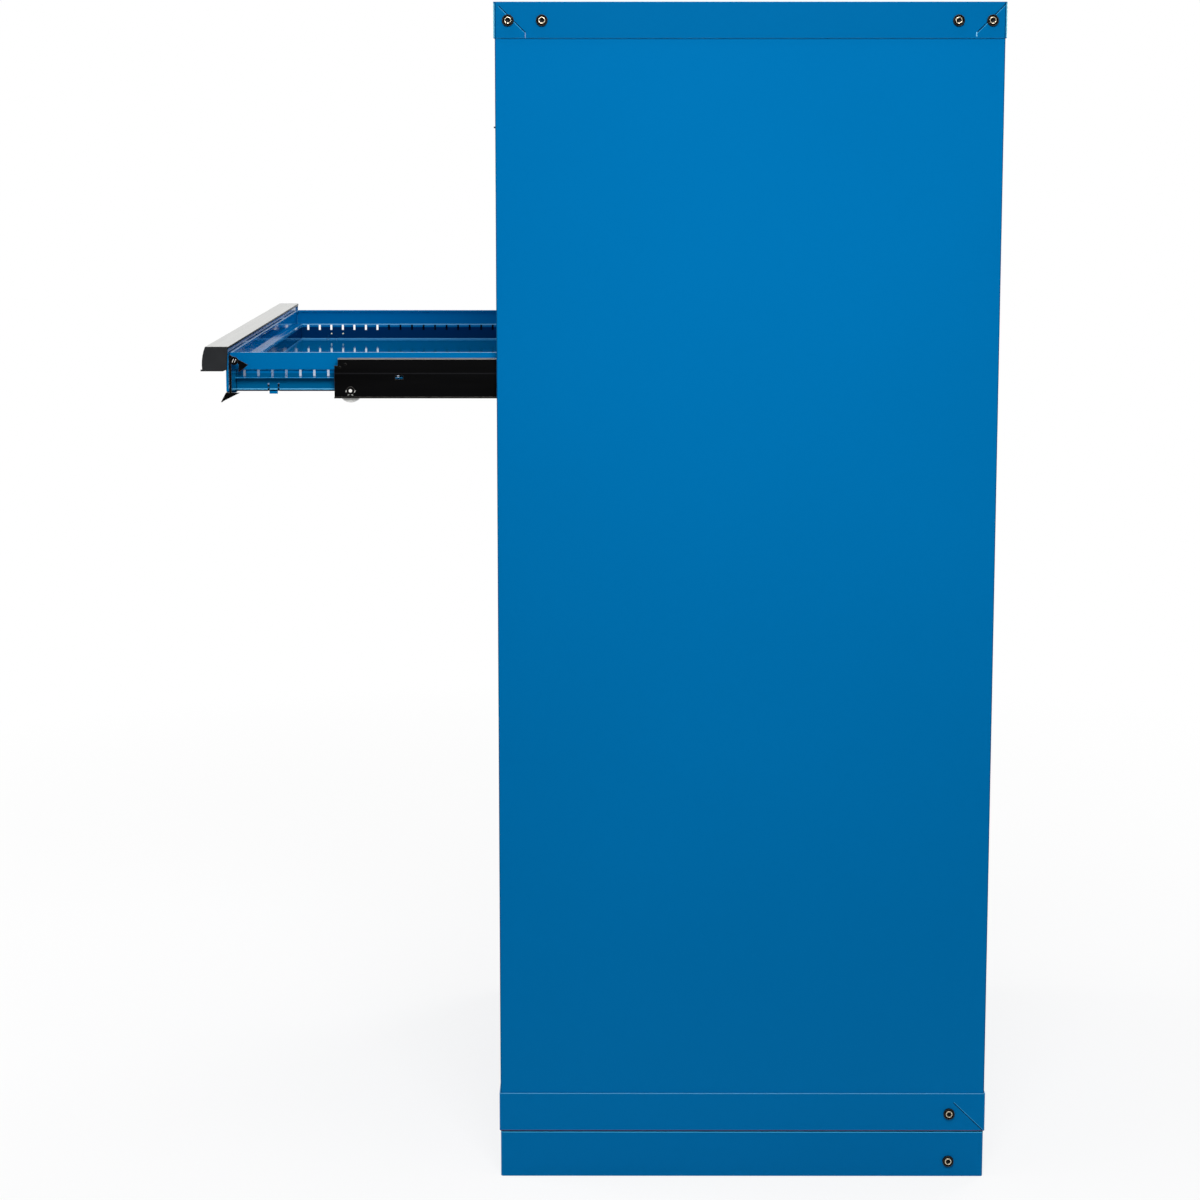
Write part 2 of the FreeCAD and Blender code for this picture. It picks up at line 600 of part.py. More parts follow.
def front(number):
    """Shallow folded front panel, open at the back, welded to the tray by two stays."""
    face, low, top = face_plane(number), module_low(number), module_top(number)
    z = (f"{low} + front_lift", f"{top} - handle_gauge - seat_clearance")
    outer = box(f"FrontOuter{number}", (f"-{FRONT_HALF}", FRONT_HALF),
                (face, f"{face} + front_depth"), z)
    inner = box(f"FrontInner{number}",
                (f"-{FRONT_HALF} + front_gauge", f"{FRONT_HALF} - front_gauge"),
                (f"{face} + front_gauge", f"{face} + 2 * front_depth"),
                (f"{z[0]} + front_gauge", f"{z[1]} - front_gauge"))
    stays = [
        box(f"FrontStay{side}{number}",
            (f"{centre} - stay_width / 2", f"{centre} + stay_width / 2"),
            (f"{face} + front_gauge / 2", f"{face} + front_depth"),
            (f"{low} + joggle_rise + tray_gauge", f"{top} - tray_drop"))
        for side, centre in (("R", "stay_offset"), ("L", "-stay_offset"))
    ]
    shell = cut(f"FrontShell{number}", outer, inner)
    node(fuse(f"Front{number}", [shell] + stays), f"drawer_{number}_front")


# The handle's section, in a frame whose corner is its lip below and in front
HANDLE_TOP = "handle_drop"
HANDLE_BACK = "handle_reach"
HANDLE_NOSE = "(handle_reach - handle_crown)"


def handle(number):
    """Full-width extruded pull: a bowed front leg, a top, and a leg flat on the panel."""
    gauge = "handle_gauge"
    corners = [
        ("0", "0"), ("handle_lip + handle_gauge", "0"),
        ("handle_lip + handle_gauge", gauge),
        (f"{HANDLE_NOSE} + {gauge}", f"{HANDLE_TOP} - {gauge}"),
        (f"{HANDLE_BACK} - {gauge}", f"{HANDLE_TOP} - {gauge}"),
        (f"{HANDLE_BACK} - {gauge}", "handle_lip"), (HANDLE_BACK, "handle_lip"),
        (HANDLE_BACK, f"{HANDLE_TOP} - {gauge}"),
        (f"{HANDLE_BACK} + handle_hook", f"{HANDLE_TOP} - {gauge}"),
        (f"{HANDLE_BACK} + handle_hook", HANDLE_TOP), (HANDLE_NOSE, HANDLE_TOP),
        ("handle_lip", "handle_lip"), ("0", "handle_lip / 2"),
    ]
    body = extrusion(f"Handle{number}", corners, f"2 * {FRONT_HALF}", [(10, "handle_bow")])
    place(body, f"-{FRONT_HALF}", f"{face_plane(number)} - handle_reach - seat_clearance",
          f"{module_top(number)} - handle_drop")
    node(body, f"drawer_{number}_handle")


def end_caps(number):
    """Moulded caps that close the handle's two ends and the panel's corners."""
    corners = [
        ("0", "0"), ("handle_reach - handle_hook", "0"),
        ("handle_reach + handle_hook / 2", "handle_lip"),
        ("handle_reach + handle_hook", HANDLE_TOP), (HANDLE_NOSE, HANDLE_TOP),
        ("handle_lip", "handle_lip"), ("0", "handle_lip"),
    ]
    body = extrusion(f"EndCap{number}", corners, "end_cap_width", [(4, "handle_bow")])
    place(body, FRONT_HALF, f"{face_plane(number)} - handle_reach - seat_clearance",
          f"{module_top(number)} - handle_drop")
    node(group(f"EndCaps{number}", [body, mirrored(f"EndCapLeft{number}", body)]),
         f"drawer_{number}_end_caps")


def latch(number):
    """Finger bar under the front between two crank plates that pivot on the tray."""
    low = module_low(number)
    nose = "latch_reach"
    strip = f"({nose} + front_depth + latch_gap)"
    foot = "(latch_foot_rise - latch_tip_rise)"
    pivot = "(pivot_rise - latch_tip_rise)"
    corners = [
        ("0", "0"), (f"{nose} + latch_heel", foot), (f"{strip} + latch_strip", foot),
        (f"{strip} + latch_strip", f"{pivot} + latch_shoulder"),
        (f"{nose} + latch_arm", f"{pivot} - latch_arm_drop"),
        (f"{nose} + latch_arm", f"{pivot} - latch_wing_low"),
        (f"{nose} + latch_wing", f"{pivot} - latch_wing_drop"),
        (strip, f"{pivot} + latch_crown"), (strip, foot), (f"{nose} - latch_lap", foot),
    ]
    plate = extrusion(f"LatchPlate{number}", corners, "latch_gauge")
    place(plate, PLATE_IN, f"{face_plane(number)} - latch_reach", f"{low} + latch_tip_rise")
    lip = extrusion(f"LatchLip{number}", [
        ("0", "0"), ("latch_sheet", "0"), (f"{nose} - latch_lap + latch_sheet", foot),
        (f"{nose} - latch_lap", foot)], f"2 * {PLATE_IN}")
    place(lip, f"-{PLATE_IN}", f"{face_plane(number)} - latch_reach", f"{low} + latch_tip_rise")
    bar = fuse(f"LatchRaw{number}", [plate, mirrored(f"LatchPlateLeft{number}", plate), lip])
    bore = rod(f"LatchBore{number}", "pivot_radius + pivot_clearance",
               (f"-{SIDE}", f"{face_plane(number)} + pivot_back", f"{low} + pivot_rise"),
               f"2 * {SIDE}", TO_X)
    node(cut(f"Latch{number}", bar, bore), f"drawer_{number}_latch_bar")


def slides(number):
    """Intermediate members, one each side: web, inboard flange, outboard foot, roller axle."""
    start = member_front(number)
    low = f"({module_low(number)} + member_rise)"
    high = f"({low} + member_height)"
    run = (start, f"{start} + {MEMBER_LENGTH}")
    along, height = roller_centre(number)
    web = box(f"MemberWeb{number}", (MEMBER_IN, MEMBER_OUT), run, (low, high))
    head = box(f"MemberHead{number}", (f"{MEMBER_OUT} - member_flange", MEMBER_OUT),
               (f"{start} + member_notch", run[1]), (f"{high} - member_gauge", high))
    foot = box(f"MemberFoot{number}", (MEMBER_IN, f"{MEMBER_OUT} + member_foot"), run,
               (low, f"{low} + member_gauge"))
    through = (f"{MEMBER_IN} - member_gauge", f"{MEMBER_OUT} + member_gauge")
    notch = box(f"MemberNotch{number}", through,
                (f"{start} - member_notch", f"{start} + member_notch"),
                (f"{high} - member_notch_high", f"{high} + member_gauge"))
    window = box(f"MemberWindow{number}", through,
                 (f"{start} + window_place", f"{start} + window_place + window_long"),
                 (f"{high} - window_drop", f"{high} - window_drop + window_high"))
    folded = cut(f"MemberFolded{number}", fuse(f"MemberSheet{number}", [web, head, foot]),
                 group(f"MemberOpenings{number}", [notch, window]))
    axle = rod(f"MemberAxle{number}", "axle_radius",
               (f"{ROLLER_IN} - axle_stub", along, height),
               f"{MEMBER_OUT} - {ROLLER_IN} + axle_stub", TO_X)
    rivet = rod(f"MemberRivet{number}", "axle_head", (MEMBER_OUT, along, height),
                "axle_head_high", TO_X)
    right = fuse(f"Member{number}", [folded, axle, rivet])
    node(group(f"Members{number}", [right, mirrored(f"MemberLeft{number}", right)]),
         f"drawer_{number}_slide_members")


def rollers(number):
    """Nylon rollers on the members' axles, carrying the tray's rails."""
    along, height = roller_centre(number)
    inner = "(axle_radius + axle_clearance)"
    body = doc.addObject("PartDesign::Body", f"Roller{number}")
    profile = outline_sketch(body, f"RollerProfile{number}", "XZ_Plane", [
        (inner, "0"), ("roller_radius - roller_chamfer", "0"), ("roller_radius", "roller_chamfer"),
        ("roller_radius", "roller_width - roller_chamfer"),
        ("roller_radius - roller_chamfer", "roller_width"), (inner, "roller_width")])
    turned = body.newObject("PartDesign::Revolution", f"RollerTurned{number}")
    turned.Profile = profile
    turned.ReferenceAxis = (profile, ["V_Axis"])
    turned.Angle = 360
    body.Tip = turned
    body.Placement.Rotation = FreeCAD.Rotation(Vector(0, 1, 0), 90)
    place(body, ROLLER_IN, along, height)
    node(group(f"Rollers{number}", [body, mirrored(f"RollerLeft{number}", body)]),
         f"drawer_{number}_rollers")


housing()
uprights()
channels()
screws()
lock()
for module in MODULES:
    tray(module)
    front(module)
    handle(module)
    end_caps(module)
    latch(module)
    slides(module)
    rollers(module)
doc.recompute()

failed = [thing.Label for thing in doc.Objects
          if "Invalid" in thing.State or "Error" in thing.State]
broken = [piece.Label for piece in nodes
          if piece.Shape.isNull() or not piece.Shape.isValid() or not piece.Shape.Solids]
if failed or broken:
    raise RuntimeError(f"failed: {failed}; broken: {broken}")

os.makedirs("parts", exist_ok=True)
for piece in nodes:
    piece.Shape.exportStep(f"parts/{piece.Label}.step")
    print(f"{piece.Label}: {len(piece.Shape.Solids)} solids, {piece.Shape.Volume / 1000:.1f} cm3")
print(len(nodes), "nodes")
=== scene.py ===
# %% [markdown]
# A tall workshop cabinet with seven drawers, seen square-on from its right side with
# the fourth drawer pulled out. The packed solids give every sheet, slide and roller its
# place, so most of this lesson is about finishes: how baked enamel, brushed aluminium
# and moulded plastic tell themselves apart when each is only a few nodes.

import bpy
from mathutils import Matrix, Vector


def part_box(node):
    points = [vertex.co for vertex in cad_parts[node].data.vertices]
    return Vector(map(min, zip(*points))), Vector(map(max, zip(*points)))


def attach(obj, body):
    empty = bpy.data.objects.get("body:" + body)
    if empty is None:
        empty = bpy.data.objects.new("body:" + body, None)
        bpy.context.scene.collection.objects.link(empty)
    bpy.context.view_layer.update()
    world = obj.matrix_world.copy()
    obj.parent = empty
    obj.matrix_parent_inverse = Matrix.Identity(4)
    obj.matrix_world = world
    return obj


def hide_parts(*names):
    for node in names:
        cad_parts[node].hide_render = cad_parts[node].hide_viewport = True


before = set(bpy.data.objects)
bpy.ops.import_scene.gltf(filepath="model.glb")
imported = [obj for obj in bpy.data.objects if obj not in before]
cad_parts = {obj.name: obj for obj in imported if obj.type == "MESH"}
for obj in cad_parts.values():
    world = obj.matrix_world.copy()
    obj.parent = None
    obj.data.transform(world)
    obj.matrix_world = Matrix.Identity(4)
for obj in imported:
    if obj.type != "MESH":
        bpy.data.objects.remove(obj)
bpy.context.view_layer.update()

# %% [markdown]
# Blender works in metres and the cabinet was drawn in millimetres, so one constant turns
# one into the other. The outer planes of the cabinet are read from its own nodes rather
# than typed, so that the seams and marks below stay on the sheet that carries them.

# %% The cabinet's own planes
import math

import bmesh
import bpy
from mathutils import Matrix, Vector

MM = 0.001
cap_low, cap_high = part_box("top_cap")
pan_low, pan_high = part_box("bottom_pan")
side_low, side_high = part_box("side_panel_right")
print("cap corners:", [tuple(round(v, 4) for v in corner) for corner in (cap_low, cap_high)])

# %% [markdown]
# Shader maths is easier to read as sums than as a tangle of nodes. A Wire is one output
# of a node; adding, subtracting, multiplying or comparing Wires adds the Math nodes that
# do it. A Finish is one material: its add method makes any node, its settings first and
# then the values or links of its sockets.


# %% Wires and finishes
MIX_FACTOR, MIX_FIRST, MIX_SECOND, MIX_COLOUR = 0, 6, 7, 2  # the Mix node's own sockets


class Wire:
    """One output socket, so that shader maths reads as Python."""

    def __init__(self, finish, socket):
        self.finish = finish
        self.socket = socket

    def maths(self, operation, *others):
        values = dict(enumerate((self,) + others))
        return self.finish.add("ShaderNodeMath", {"operation": operation}, values)

    def __add__(self, other):
        return self.maths("ADD", other)

    def __mul__(self, other):
        return self.maths("MULTIPLY", other)

    def __sub__(self, other):
        return self.maths("SUBTRACT", other)

    def __rsub__(self, other):
        return self * -1.0 + other

    def __abs__(self):
        return self.maths("ABSOLUTE")

    def __gt__(self, other):
        return self.maths("GREATER_THAN", other)

    def __lt__(self, other):
        return self.maths("LESS_THAN", other)

    __radd__ = __add__
    __rmul__ = __mul__

    def clamped(self):
        return self.finish.add("ShaderNodeClamp", {}, {"Value": self})

    def output(self, name):
        return Wire(self.finish, self.socket.node.outputs[name])


class Finish:
    """A node tree that is filled one node at a time."""

    def __init__(self, tree):
        self.tree = tree
        tree.nodes.clear()

    def add(self, kind, settings, sockets, output=0):
        node = self.tree.nodes.new(kind)
        for key, value in settings.items():
            setattr(node, key, value)
        for key, value in sockets.items():
            if isinstance(value, Wire):
                self.tree.links.new(value.socket, node.inputs[key])
            else:
                node.inputs[key].default_value = value
        return Wire(self, node.outputs[output]) if node.outputs else node

    def place(self):
        """Where the shaded point is on its own piece, in metres."""
        return self.add("ShaderNodeTexCoord", {}, {}, "Object")

    def split(self, vector):
        parts = self.add("ShaderNodeSeparateXYZ", {}, {"Vector": vector})
        return parts, parts.output("Y"), parts.output("Z")

    def stretched(self, vector, scale):
        settings = {"operation": "MULTIPLY"}
        return self.add("ShaderNodeVectorMath", settings, {0: vector, 1: scale})

    def noise(self, vector, scale, detail=2.0):
        sockets = {"Vector": vector, "Scale": scale, "Detail": detail}
        return self.add("ShaderNodeTexNoise", {}, sockets)

    def blend(self, factor, first, second):
        sockets = {MIX_FACTOR: factor, MIX_FIRST: first, MIX_SECOND: second}
        return self.add("ShaderNodeMix", {"data_type": "RGBA"}, sockets, MIX_COLOUR)


print("a Wire knows:", [name for name, member in vars(Wire).items() if callable(member)])

# %% [markdown]
# Colours are written as a designer would read them off a chart, in the values a screen
# shows. The renderer wants linear light, so one helper converts them.


# %% Colours from a chart
def chart(red, green, blue, gain=1.0):
    """A colour given as screen values from 0 to 255, in linear light by the sRGB curve."""
    shown = [channel / 255.0 for channel in (red, green, blue)]
    linear = [v / 12.92 if v <= 0.04045 else ((v + 0.055) / 1.055) ** 2.4 for v in shown]
    return tuple(v * gain for v in linear) + (1.0,)


BLUE = (0, 111, 174)
print("enamel blue in linear light:", tuple(round(v, 3) for v in chart(*BLUE)))

# %% [markdown]
# Every finish ends in the same shader. What changes over a surface reaches only its colour,
# roughness and bump; the rest are plain numbers on the shader's own sockets. The Bevel node
# rounds the look of each folded edge by a millimetre or so, which is what gives real sheet
# metal its thin bright outline. Where its normal and the flat normal part company there is an
# edge, so the same node also says where an edge is, and the finishes below paint a highlight
# into their colour there, the black plastic a shade.


# %% One ending for all finishes
EDGE_GAIN = 4.0


def softened_edges(finish, radius=0.7 * MM):
    """The normal with its edges rounded, and a mask that is 1 on the edges."""
    softened = finish.add("ShaderNodeBevel", {"samples": 4}, {"Radius": radius})
    flat = finish.add("ShaderNodeNewGeometry", {}, {}, "True Normal")
    sockets = {0: softened, 1: flat}
    agree = finish.add("ShaderNodeVectorMath", {"operation": "DOT_PRODUCT"}, sockets, "Value")
    return softened, ((1.0 - agree) * EDGE_GAIN).clamped()


def finish_with(finish, colour, roughness, height, depth, softened=None, **constants):
    """Colour, roughness and relief go over the surface; the constants stay the same."""
    if softened is None:
        softened = softened_edges(finish)[0]
    bump = {"Height": height, "Normal": softened, "Distance": depth, "Strength": 1.0}
    relief = finish.add("ShaderNodeBump", {}, bump)
    sockets = {"Base Color": colour, "Roughness": roughness, "Normal": relief}
    sockets.update({key.replace("_", " "): value for key, value in constants.items()})
    surface = finish.add("ShaderNodeBsdfPrincipled", {}, sockets)
    finish.add("ShaderNodeOutputMaterial", {}, {"Surface": surface})


def new_finish(name):
    material = bpy.data.materials.new(name)
    material.use_nodes = True
    return material, Finish(material.node_tree)


print("materials before:", len(bpy.data.materials))

# %% [markdown]
# The cap and the pan are folded from one blank each, and their corners are closed by a slanted
# seam that starts at the outer corner. A seam is a hairline in the paint rather than a form, so
# the enamel itself draws it: a dark stroke with a thin painted highlight beside it, each a
# distance from a segment.


# %% Strokes in the paint
PAINT_DEPTH = 0.2 * MM  # strokes stay on the outermost faces


def stroke(start, end, tone, half_width, offset=0.0, strength=1.0):
    """A painted line in the side's plane between two points (y, z)."""
    return {"start": start, "end": end, "tone": tone, "half_width": half_width,
            "offset": offset, "strength": strength}


def on_stroke(spot, line):
    """1 on a stroke, 0 elsewhere."""
    x, y, z = spot
    start = line["start"]
    run = Vector(line["end"]) - Vector(start)
    along = run.normalized()
    across = (y - start[0]) * along.y - (z - start[1]) * along.x
    forward = (y - start[0]) * along.x + (z - start[1]) * along.y
    on_line = abs(across - line["offset"]) < line["half_width"]
    on_run = (forward > 0.0) * (forward < run.length)
    return on_line * on_run * (abs(x) > side_high.x - PAINT_DEPTH) * line["strength"]


# The dark tone draws real seams and lines of painted shade; the glint and rim tones are painted
# highlights.
DARK_SEAM_AND_SHADE, GLINT, RIM_HIGHLIGHT = chart(6, 24, 56), chart(60, 160, 215), chart(125, 205, 222)


def seam(start, end, light_side):
    """A dark hairline with a thin painted highlight beside it."""
    dark = stroke(start, end, DARK_SEAM_AND_SHADE, 0.55 * MM)
    light = stroke(start, end, GLINT, 0.4 * MM, light_side * 0.95 * MM, 0.8)
    return [dark, light]


def upright(place, low, high, tone=RIM_HIGHLIGHT, half_width=0.8 * MM, strength=1.0):
    """A painted line straight up the side at one distance back."""
    return stroke((place, low), (place, high), tone, half_width, 0.0, strength)


print("ink, glint and rim:", [tuple(round(v, 3) for v in tone) for tone in (DARK_SEAM_AND_SHADE, GLINT, RIM_HIGHLIGHT)])

# %% [markdown]
# The cap's seams run from its top corners down to the ends of its corner flaps, and the edges
# of the flaps get light strokes of painted highlight. The same strokes, stood upright, give the
# cap's folds a thin painted highlight, with a line of painted shade just inside, and give the
# side panel two lines of painted shade along its hems. The pan has a seam at the back only.
# Every place is measured from an edge of its own sheet.

# %% Seams and rims of the cap, the pan and the panel
RIM_INSET, RIM_SHADE, HEM = 0.8 * MM, 2.6 * MM, 0.5 * MM
cap_top, cap_edge = cap_high.z, cap_low.z
cap_front, cap_back = cap_low.y, cap_high.y
front_flap, front_flap_top = cap_front + 39.3 * MM, cap_top - 37.0 * MM
back_flap, back_flap_top = cap_back - 36.3 * MM, cap_top - 36.5 * MM
cap_strokes = (
    seam((cap_front + 6.8 * MM, cap_top - 5.0 * MM), (front_flap, front_flap_top), 1)
    + seam((cap_back - 1.3 * MM, cap_top - 1.5 * MM), (back_flap, back_flap_top), -1)
    # Painted highlights down the flap edges and the folds, and painted shade just inside the
    # folds.
    + [upright(front_flap, cap_edge, front_flap_top, chart(150, 160, 190), 0.5 * MM, 0.7),
       upright(back_flap - 1.0 * MM, cap_edge + 2.0 * MM, back_flap_top,
               chart(130, 200, 235), 0.6 * MM),
       upright(cap_front + RIM_INSET, cap_edge + 0.5 * MM, cap_top - 2.0 * MM, strength=0.75),
       upright(cap_front + RIM_SHADE, cap_edge, cap_top, DARK_SEAM_AND_SHADE, 0.6 * MM, 0.6),
       upright(cap_back - RIM_INSET, cap_edge + 1.0 * MM, cap_top - 1.0 * MM, strength=0.9),
       upright(cap_back - RIM_SHADE, cap_edge, cap_top, DARK_SEAM_AND_SHADE, 0.6 * MM, 0.6)]
)
pan_top, pan_edge = pan_high.z, pan_low.z
pan_flap = (pan_high.y - 40.9 * MM, pan_top - 12.5 * MM)
pan_strokes = seam((pan_high.y - 3.0 * MM, pan_edge + 0.8 * MM), pan_flap, 1)
# Two lines of painted shade along the side panel's hems.
side_shade_strokes = [
    upright(side_low.y + HEM, pan_top, cap_edge, DARK_SEAM_AND_SHADE, 0.55 * MM, 0.6),
    upright(side_high.y - HEM, pan_top, cap_edge, DARK_SEAM_AND_SHADE, 0.55 * MM, 0.6),
]
print("cap strokes:", len(cap_strokes), "pan strokes:", len(pan_strokes))

# %% [markdown]
# Level folds show as lines that run right round a piece: a painted highlight on a lit edge,
# painted shade on a shaded one, or the wide band of painted shade under a row of slots. A
# stripe is simpler than a stroke, since it needs only a height, and two distances from the
# middle that say which faces it lies on.


# %% Stripes round a piece
def stripe(level, half_width, tone, beyond=0.0, within=1.0):
    """A level line round a piece, between two distances from the middle plane."""
    return {"level": level, "half_width": half_width, "tone": tone,
            "beyond": beyond, "within": within}


def on_stripe(spot, line):
    """1 on a stripe, 0 elsewhere."""
    on_level = abs(spot[2] - line["level"]) < line["half_width"]
    out = abs(spot[0])
    return on_level * (out > line["beyond"]) * (out < line["within"])


# Painted highlights along the pan's bottom fold and its top edge.
pan_highlights = [
    stripe(pan_edge + 0.5 * MM, 0.35 * MM, chart(96, 78, 118)),
    stripe(pan_top - 0.3 * MM, 0.5 * MM, chart(84, 165, 215)),
]
# Painted shade under the pan's edge, and a painted highlight on the base's shoulder.
base_shade_and_highlight = [
    stripe(pan_edge - 1.3 * MM, 0.8 * MM, chart(4, 20, 44)),
    stripe(pan_edge - 2.7 * MM, 0.6 * MM, chart(70, 175, 225)),
]
DRAWERS = [f"drawer_{number}" for number in range(1, 8)]


def tray_fold_light_and_shade(drawer):
    """Painted shade and painted highlights low on one tray's walls, by their height above its
    underside.
    """
    tray_low, tray_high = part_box(drawer + "_tray")
    skin, step = tray_high.x - 19.0 * MM, tray_high.x - 10.0 * MM
    inside, outside = {"within": skin}, {"beyond": skin}
    folds = [  # height and half width in millimetres, tone, faces
        # Painted shade inside below the slots, on the floor and under the step, then painted
        # highlights on the folds and the bottom edge, and painted shade under that edge.
        (18.2, 8.6, chart(0, 48, 94), inside),
        (7.4, 1.1, chart(0, 106, 162), inside),
        (15.0, 11.0, chart(0, 94, 144), {"beyond": skin, "within": step}),
        (30.6, 0.8, chart(120, 190, 228), inside),
        (9.2, 0.7, chart(92, 165, 212), inside),
        (6.0, 0.8, chart(90, 175, 222), outside),
        (4.2, 0.9, chart(0, 26, 52), outside),
    ]
    return [stripe(tray_low.z + height * MM, half_width * MM, tone, **faces)
            for height, half_width, tone, faces in folds]


tray_light_and_shade = [line for drawer in DRAWERS for line in tray_fold_light_and_shade(drawer)]
print("stripes on the trays:", len(tray_light_and_shade))

# %% [markdown]
# Baked enamel is sprayed and cured, so it is smooth but never flat: up close it has the faint
# dimples of orange peel, and over a whole panel the tone drifts a little. Its gloss comes from
# a low roughness. The drift is a slow noise, the peel a fast one. What it mirrors head-on is
# tinted blue, which keeps the colour as deep as lacquer. The cap is painted one shade darker
# than the rest. The low walls and the floor inside a tray get painted shade, and their folds
# get painted highlights.


# %% Blue baked enamel
EDGE_HIGHLIGHT = chart(120, 200, 232)
LACQUER_TINT = (0.05, 0.4, 0.8, 1.0)
PEEL_DEPTH = 0.012 * MM


def enamel(name, strokes=(), stripes=(), smoothest=0.16, shade=1.0, mirror=0.2):
    material, finish = new_finish(name)
    where = finish.place()
    drift = finish.noise(where, scale=2.2, detail=3.0)
    peel = finish.noise(where, scale=420.0, detail=2.0)
    haze = finish.noise(where, scale=14.0, detail=4.0)
    softened, edge = softened_edges(finish)
    thin, thick = chart(*BLUE, gain=0.95 * shade), chart(*BLUE, gain=1.05 * shade)
    colour = finish.blend(drift, thin, thick)
    # Edges get a painted highlight in a paler blue.
    colour = finish.blend(edge * 0.55, colour, EDGE_HIGHLIGHT)
    spot = finish.split(where)
    for line in strokes:
        colour = finish.blend(on_stroke(spot, line), colour, line["tone"])
    for line in stripes:
        colour = finish.blend(on_stripe(spot, line), colour, line["tone"])
    roughness = haze * 0.5 * smoothest + smoothest
    finish_with(
        finish, colour, roughness, peel, PEEL_DEPTH, softened,
        Specular_IOR_Level=mirror, Specular_Tint=LACQUER_TINT)
    return material


finishes = {
    "blue_enamel": enamel("enamel_blue"),
    "tray": enamel("enamel_blue_tray", (), tray_light_and_shade, smoothest=0.05, mirror=0.11),
    "cap": enamel("enamel_blue_cap", cap_strokes, shade=0.86),
    "pan": enamel("enamel_blue_pan", pan_strokes, pan_highlights),
    "side": enamel("enamel_blue_side", side_shade_strokes),
    "base": enamel("enamel_blue_base", (), base_shade_and_highlight),
}
print("enamels:", sorted(m.name for m in finishes.values()))

# %% [markdown]
# The slides, latch plates and their bars are black: the same powder as any machine part, satin
# rather than glossy, with a fine texture, and rubbed a little greyer where steel runs on steel.
# Their edges are lightened, partly as wear and partly as a painted highlight. Along the top
# edge of each slide runs a pale line of painted highlight, and a third of the way down, the
# crease that stiffens it gets a fainter painted highlight.


# %% Black enamel
FRESH_BLACK, RUBBED_BLACK = (0.0005, 0.0005, 0.0006, 1.0), (0.003, 0.003, 0.0033, 1.0)
EDGE_WEAR_AND_HIGHLIGHT = (0.20, 0.19, 0.17, 1.0)
TOP_EDGE_HIGHLIGHT, CREASE_HIGHLIGHT = (0.27, 0.255, 0.25, 1.0), (0.012, 0.012, 0.014, 1.0)


def black_enamel(name, stripes=()):
    material, finish = new_finish(name)
    where = finish.place()
    grain = finish.noise(where, scale=900.0, detail=3.0)
    along_slide = finish.stretched(where, (60.0, 4.0, 60.0))
    rubbed = finish.noise(along_slide, scale=1.0, detail=4.0)
    softened, edge = softened_edges(finish, 0.9 * MM)
    colour = finish.blend(rubbed, FRESH_BLACK, RUBBED_BLACK)
    # Edges are lightened, partly as wear and partly as a painted highlight.
    colour = finish.blend(edge * 0.5, colour, EDGE_WEAR_AND_HIGHLIGHT)
    spot = finish.split(where)
    for line in stripes:
        patchy = on_stripe(spot, line) * (rubbed * 0.4 + 0.6)
        colour = finish.blend(patchy, colour, line["tone"])
    roughness = rubbed * 0.2 + 0.22
    finish_with(
        finish, colour, roughness, grain, 0.03 * MM, softened, Specular_IOR_Level=0.1)
    return material


LINE_HALF = 0.7 * MM
slide_tops = [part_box(drawer + "_slide_members")[1].z for drawer in DRAWERS]
# A pale line of painted highlight along each slide's top edge, and a faint painted highlight on
# its crease.
top_edge_highlights = [stripe(top - 0.5 * MM, LINE_HALF, TOP_EDGE_HIGHLIGHT) for top in slide_tops]
crease_highlights = [stripe(top - 18.5 * MM, LINE_HALF, CREASE_HIGHLIGHT) for top in slide_tops]
finishes["black_enamel"] = black_enamel("enamel_black")
finishes["slide"] = black_enamel("enamel_black_highlit", top_edge_highlights + crease_highlights)
print("slide tops at", [round(top, 3) for top in slide_tops])

# %% [markdown]
# The handle is an extruded aluminium section, brushed along its length and anodised. The
# brushing is a noise stretched more than a hundredfold along the handle. It changes how
# bright, how rough and how high the surface is.


# %% Brushed aluminium
def brushed_aluminium():
    material, finish = new_finish("aluminium_brushed")
    where = finish.place()
    along_grip = finish.stretched(where, (6.0, 900.0, 900.0))
    streaks = finish.noise(along_grip, scale=1.0, detail=4.0)
    clouds = finish.noise(where, scale=9.0, detail=3.0)
    colour = finish.blend(streaks, (0.40, 0.405, 0.395, 1.0), (0.67, 0.67, 0.65, 1.0))
    roughness = streaks * 0.14 + clouds * 0.08 + 0.22
    finish_with(finish, colour, roughness, streaks, 0.02 * MM, Metallic=1.0)
    return material


finishes["satin_aluminium"] = brushed_aluminium()
print("handle finish:", finishes["satin_aluminium"].name)

# %% [markdown]
# The handle's end caps are moulded in black plastic with the fine pebbled grain that hides
# scratches. The smoothed cells of a Voronoi texture give the pebbles, and a slower noise leaves
# some patches glossier than others. Their edges are darkened almost to black with painted
# shade.


# %% Moulded black plastic
def moulded_plastic():
    material, finish = new_finish("plastic_black")
    where = finish.place()
    cells = {"Vector": where, "Scale": 1100.0}
    pebbles = finish.add("ShaderNodeTexVoronoi", {"feature": "SMOOTH_F1"}, cells)
    patches = finish.noise(where, scale=60.0, detail=3.0)
    softened, edge = softened_edges(finish, 2.0 * MM)
    colour = finish.blend(patches, (0.013, 0.014, 0.016, 1.0), (0.022, 0.024, 0.027, 1.0))
    # Painted shade darkens the edges almost to black.
    colour = finish.blend(edge, colour, (0.001, 0.001, 0.001, 1.0))
    roughness = patches * 0.15 + 0.42
    finish_with(
        finish, colour, roughness, pebbles, 0.06 * MM, softened, Specular_IOR_Level=0.3)
    return material


finishes["black_plastic"] = moulded_plastic()
print("end caps:", finishes["black_plastic"].name)

# %% [markdown]
# Rollers are turned from white nylon: a waxy, slightly warm white, with turning marks
# too fine to see except as softness in the gloss. Nylon passes light on inside itself.
# A trace of glow stands for that where the roller hides in shade.


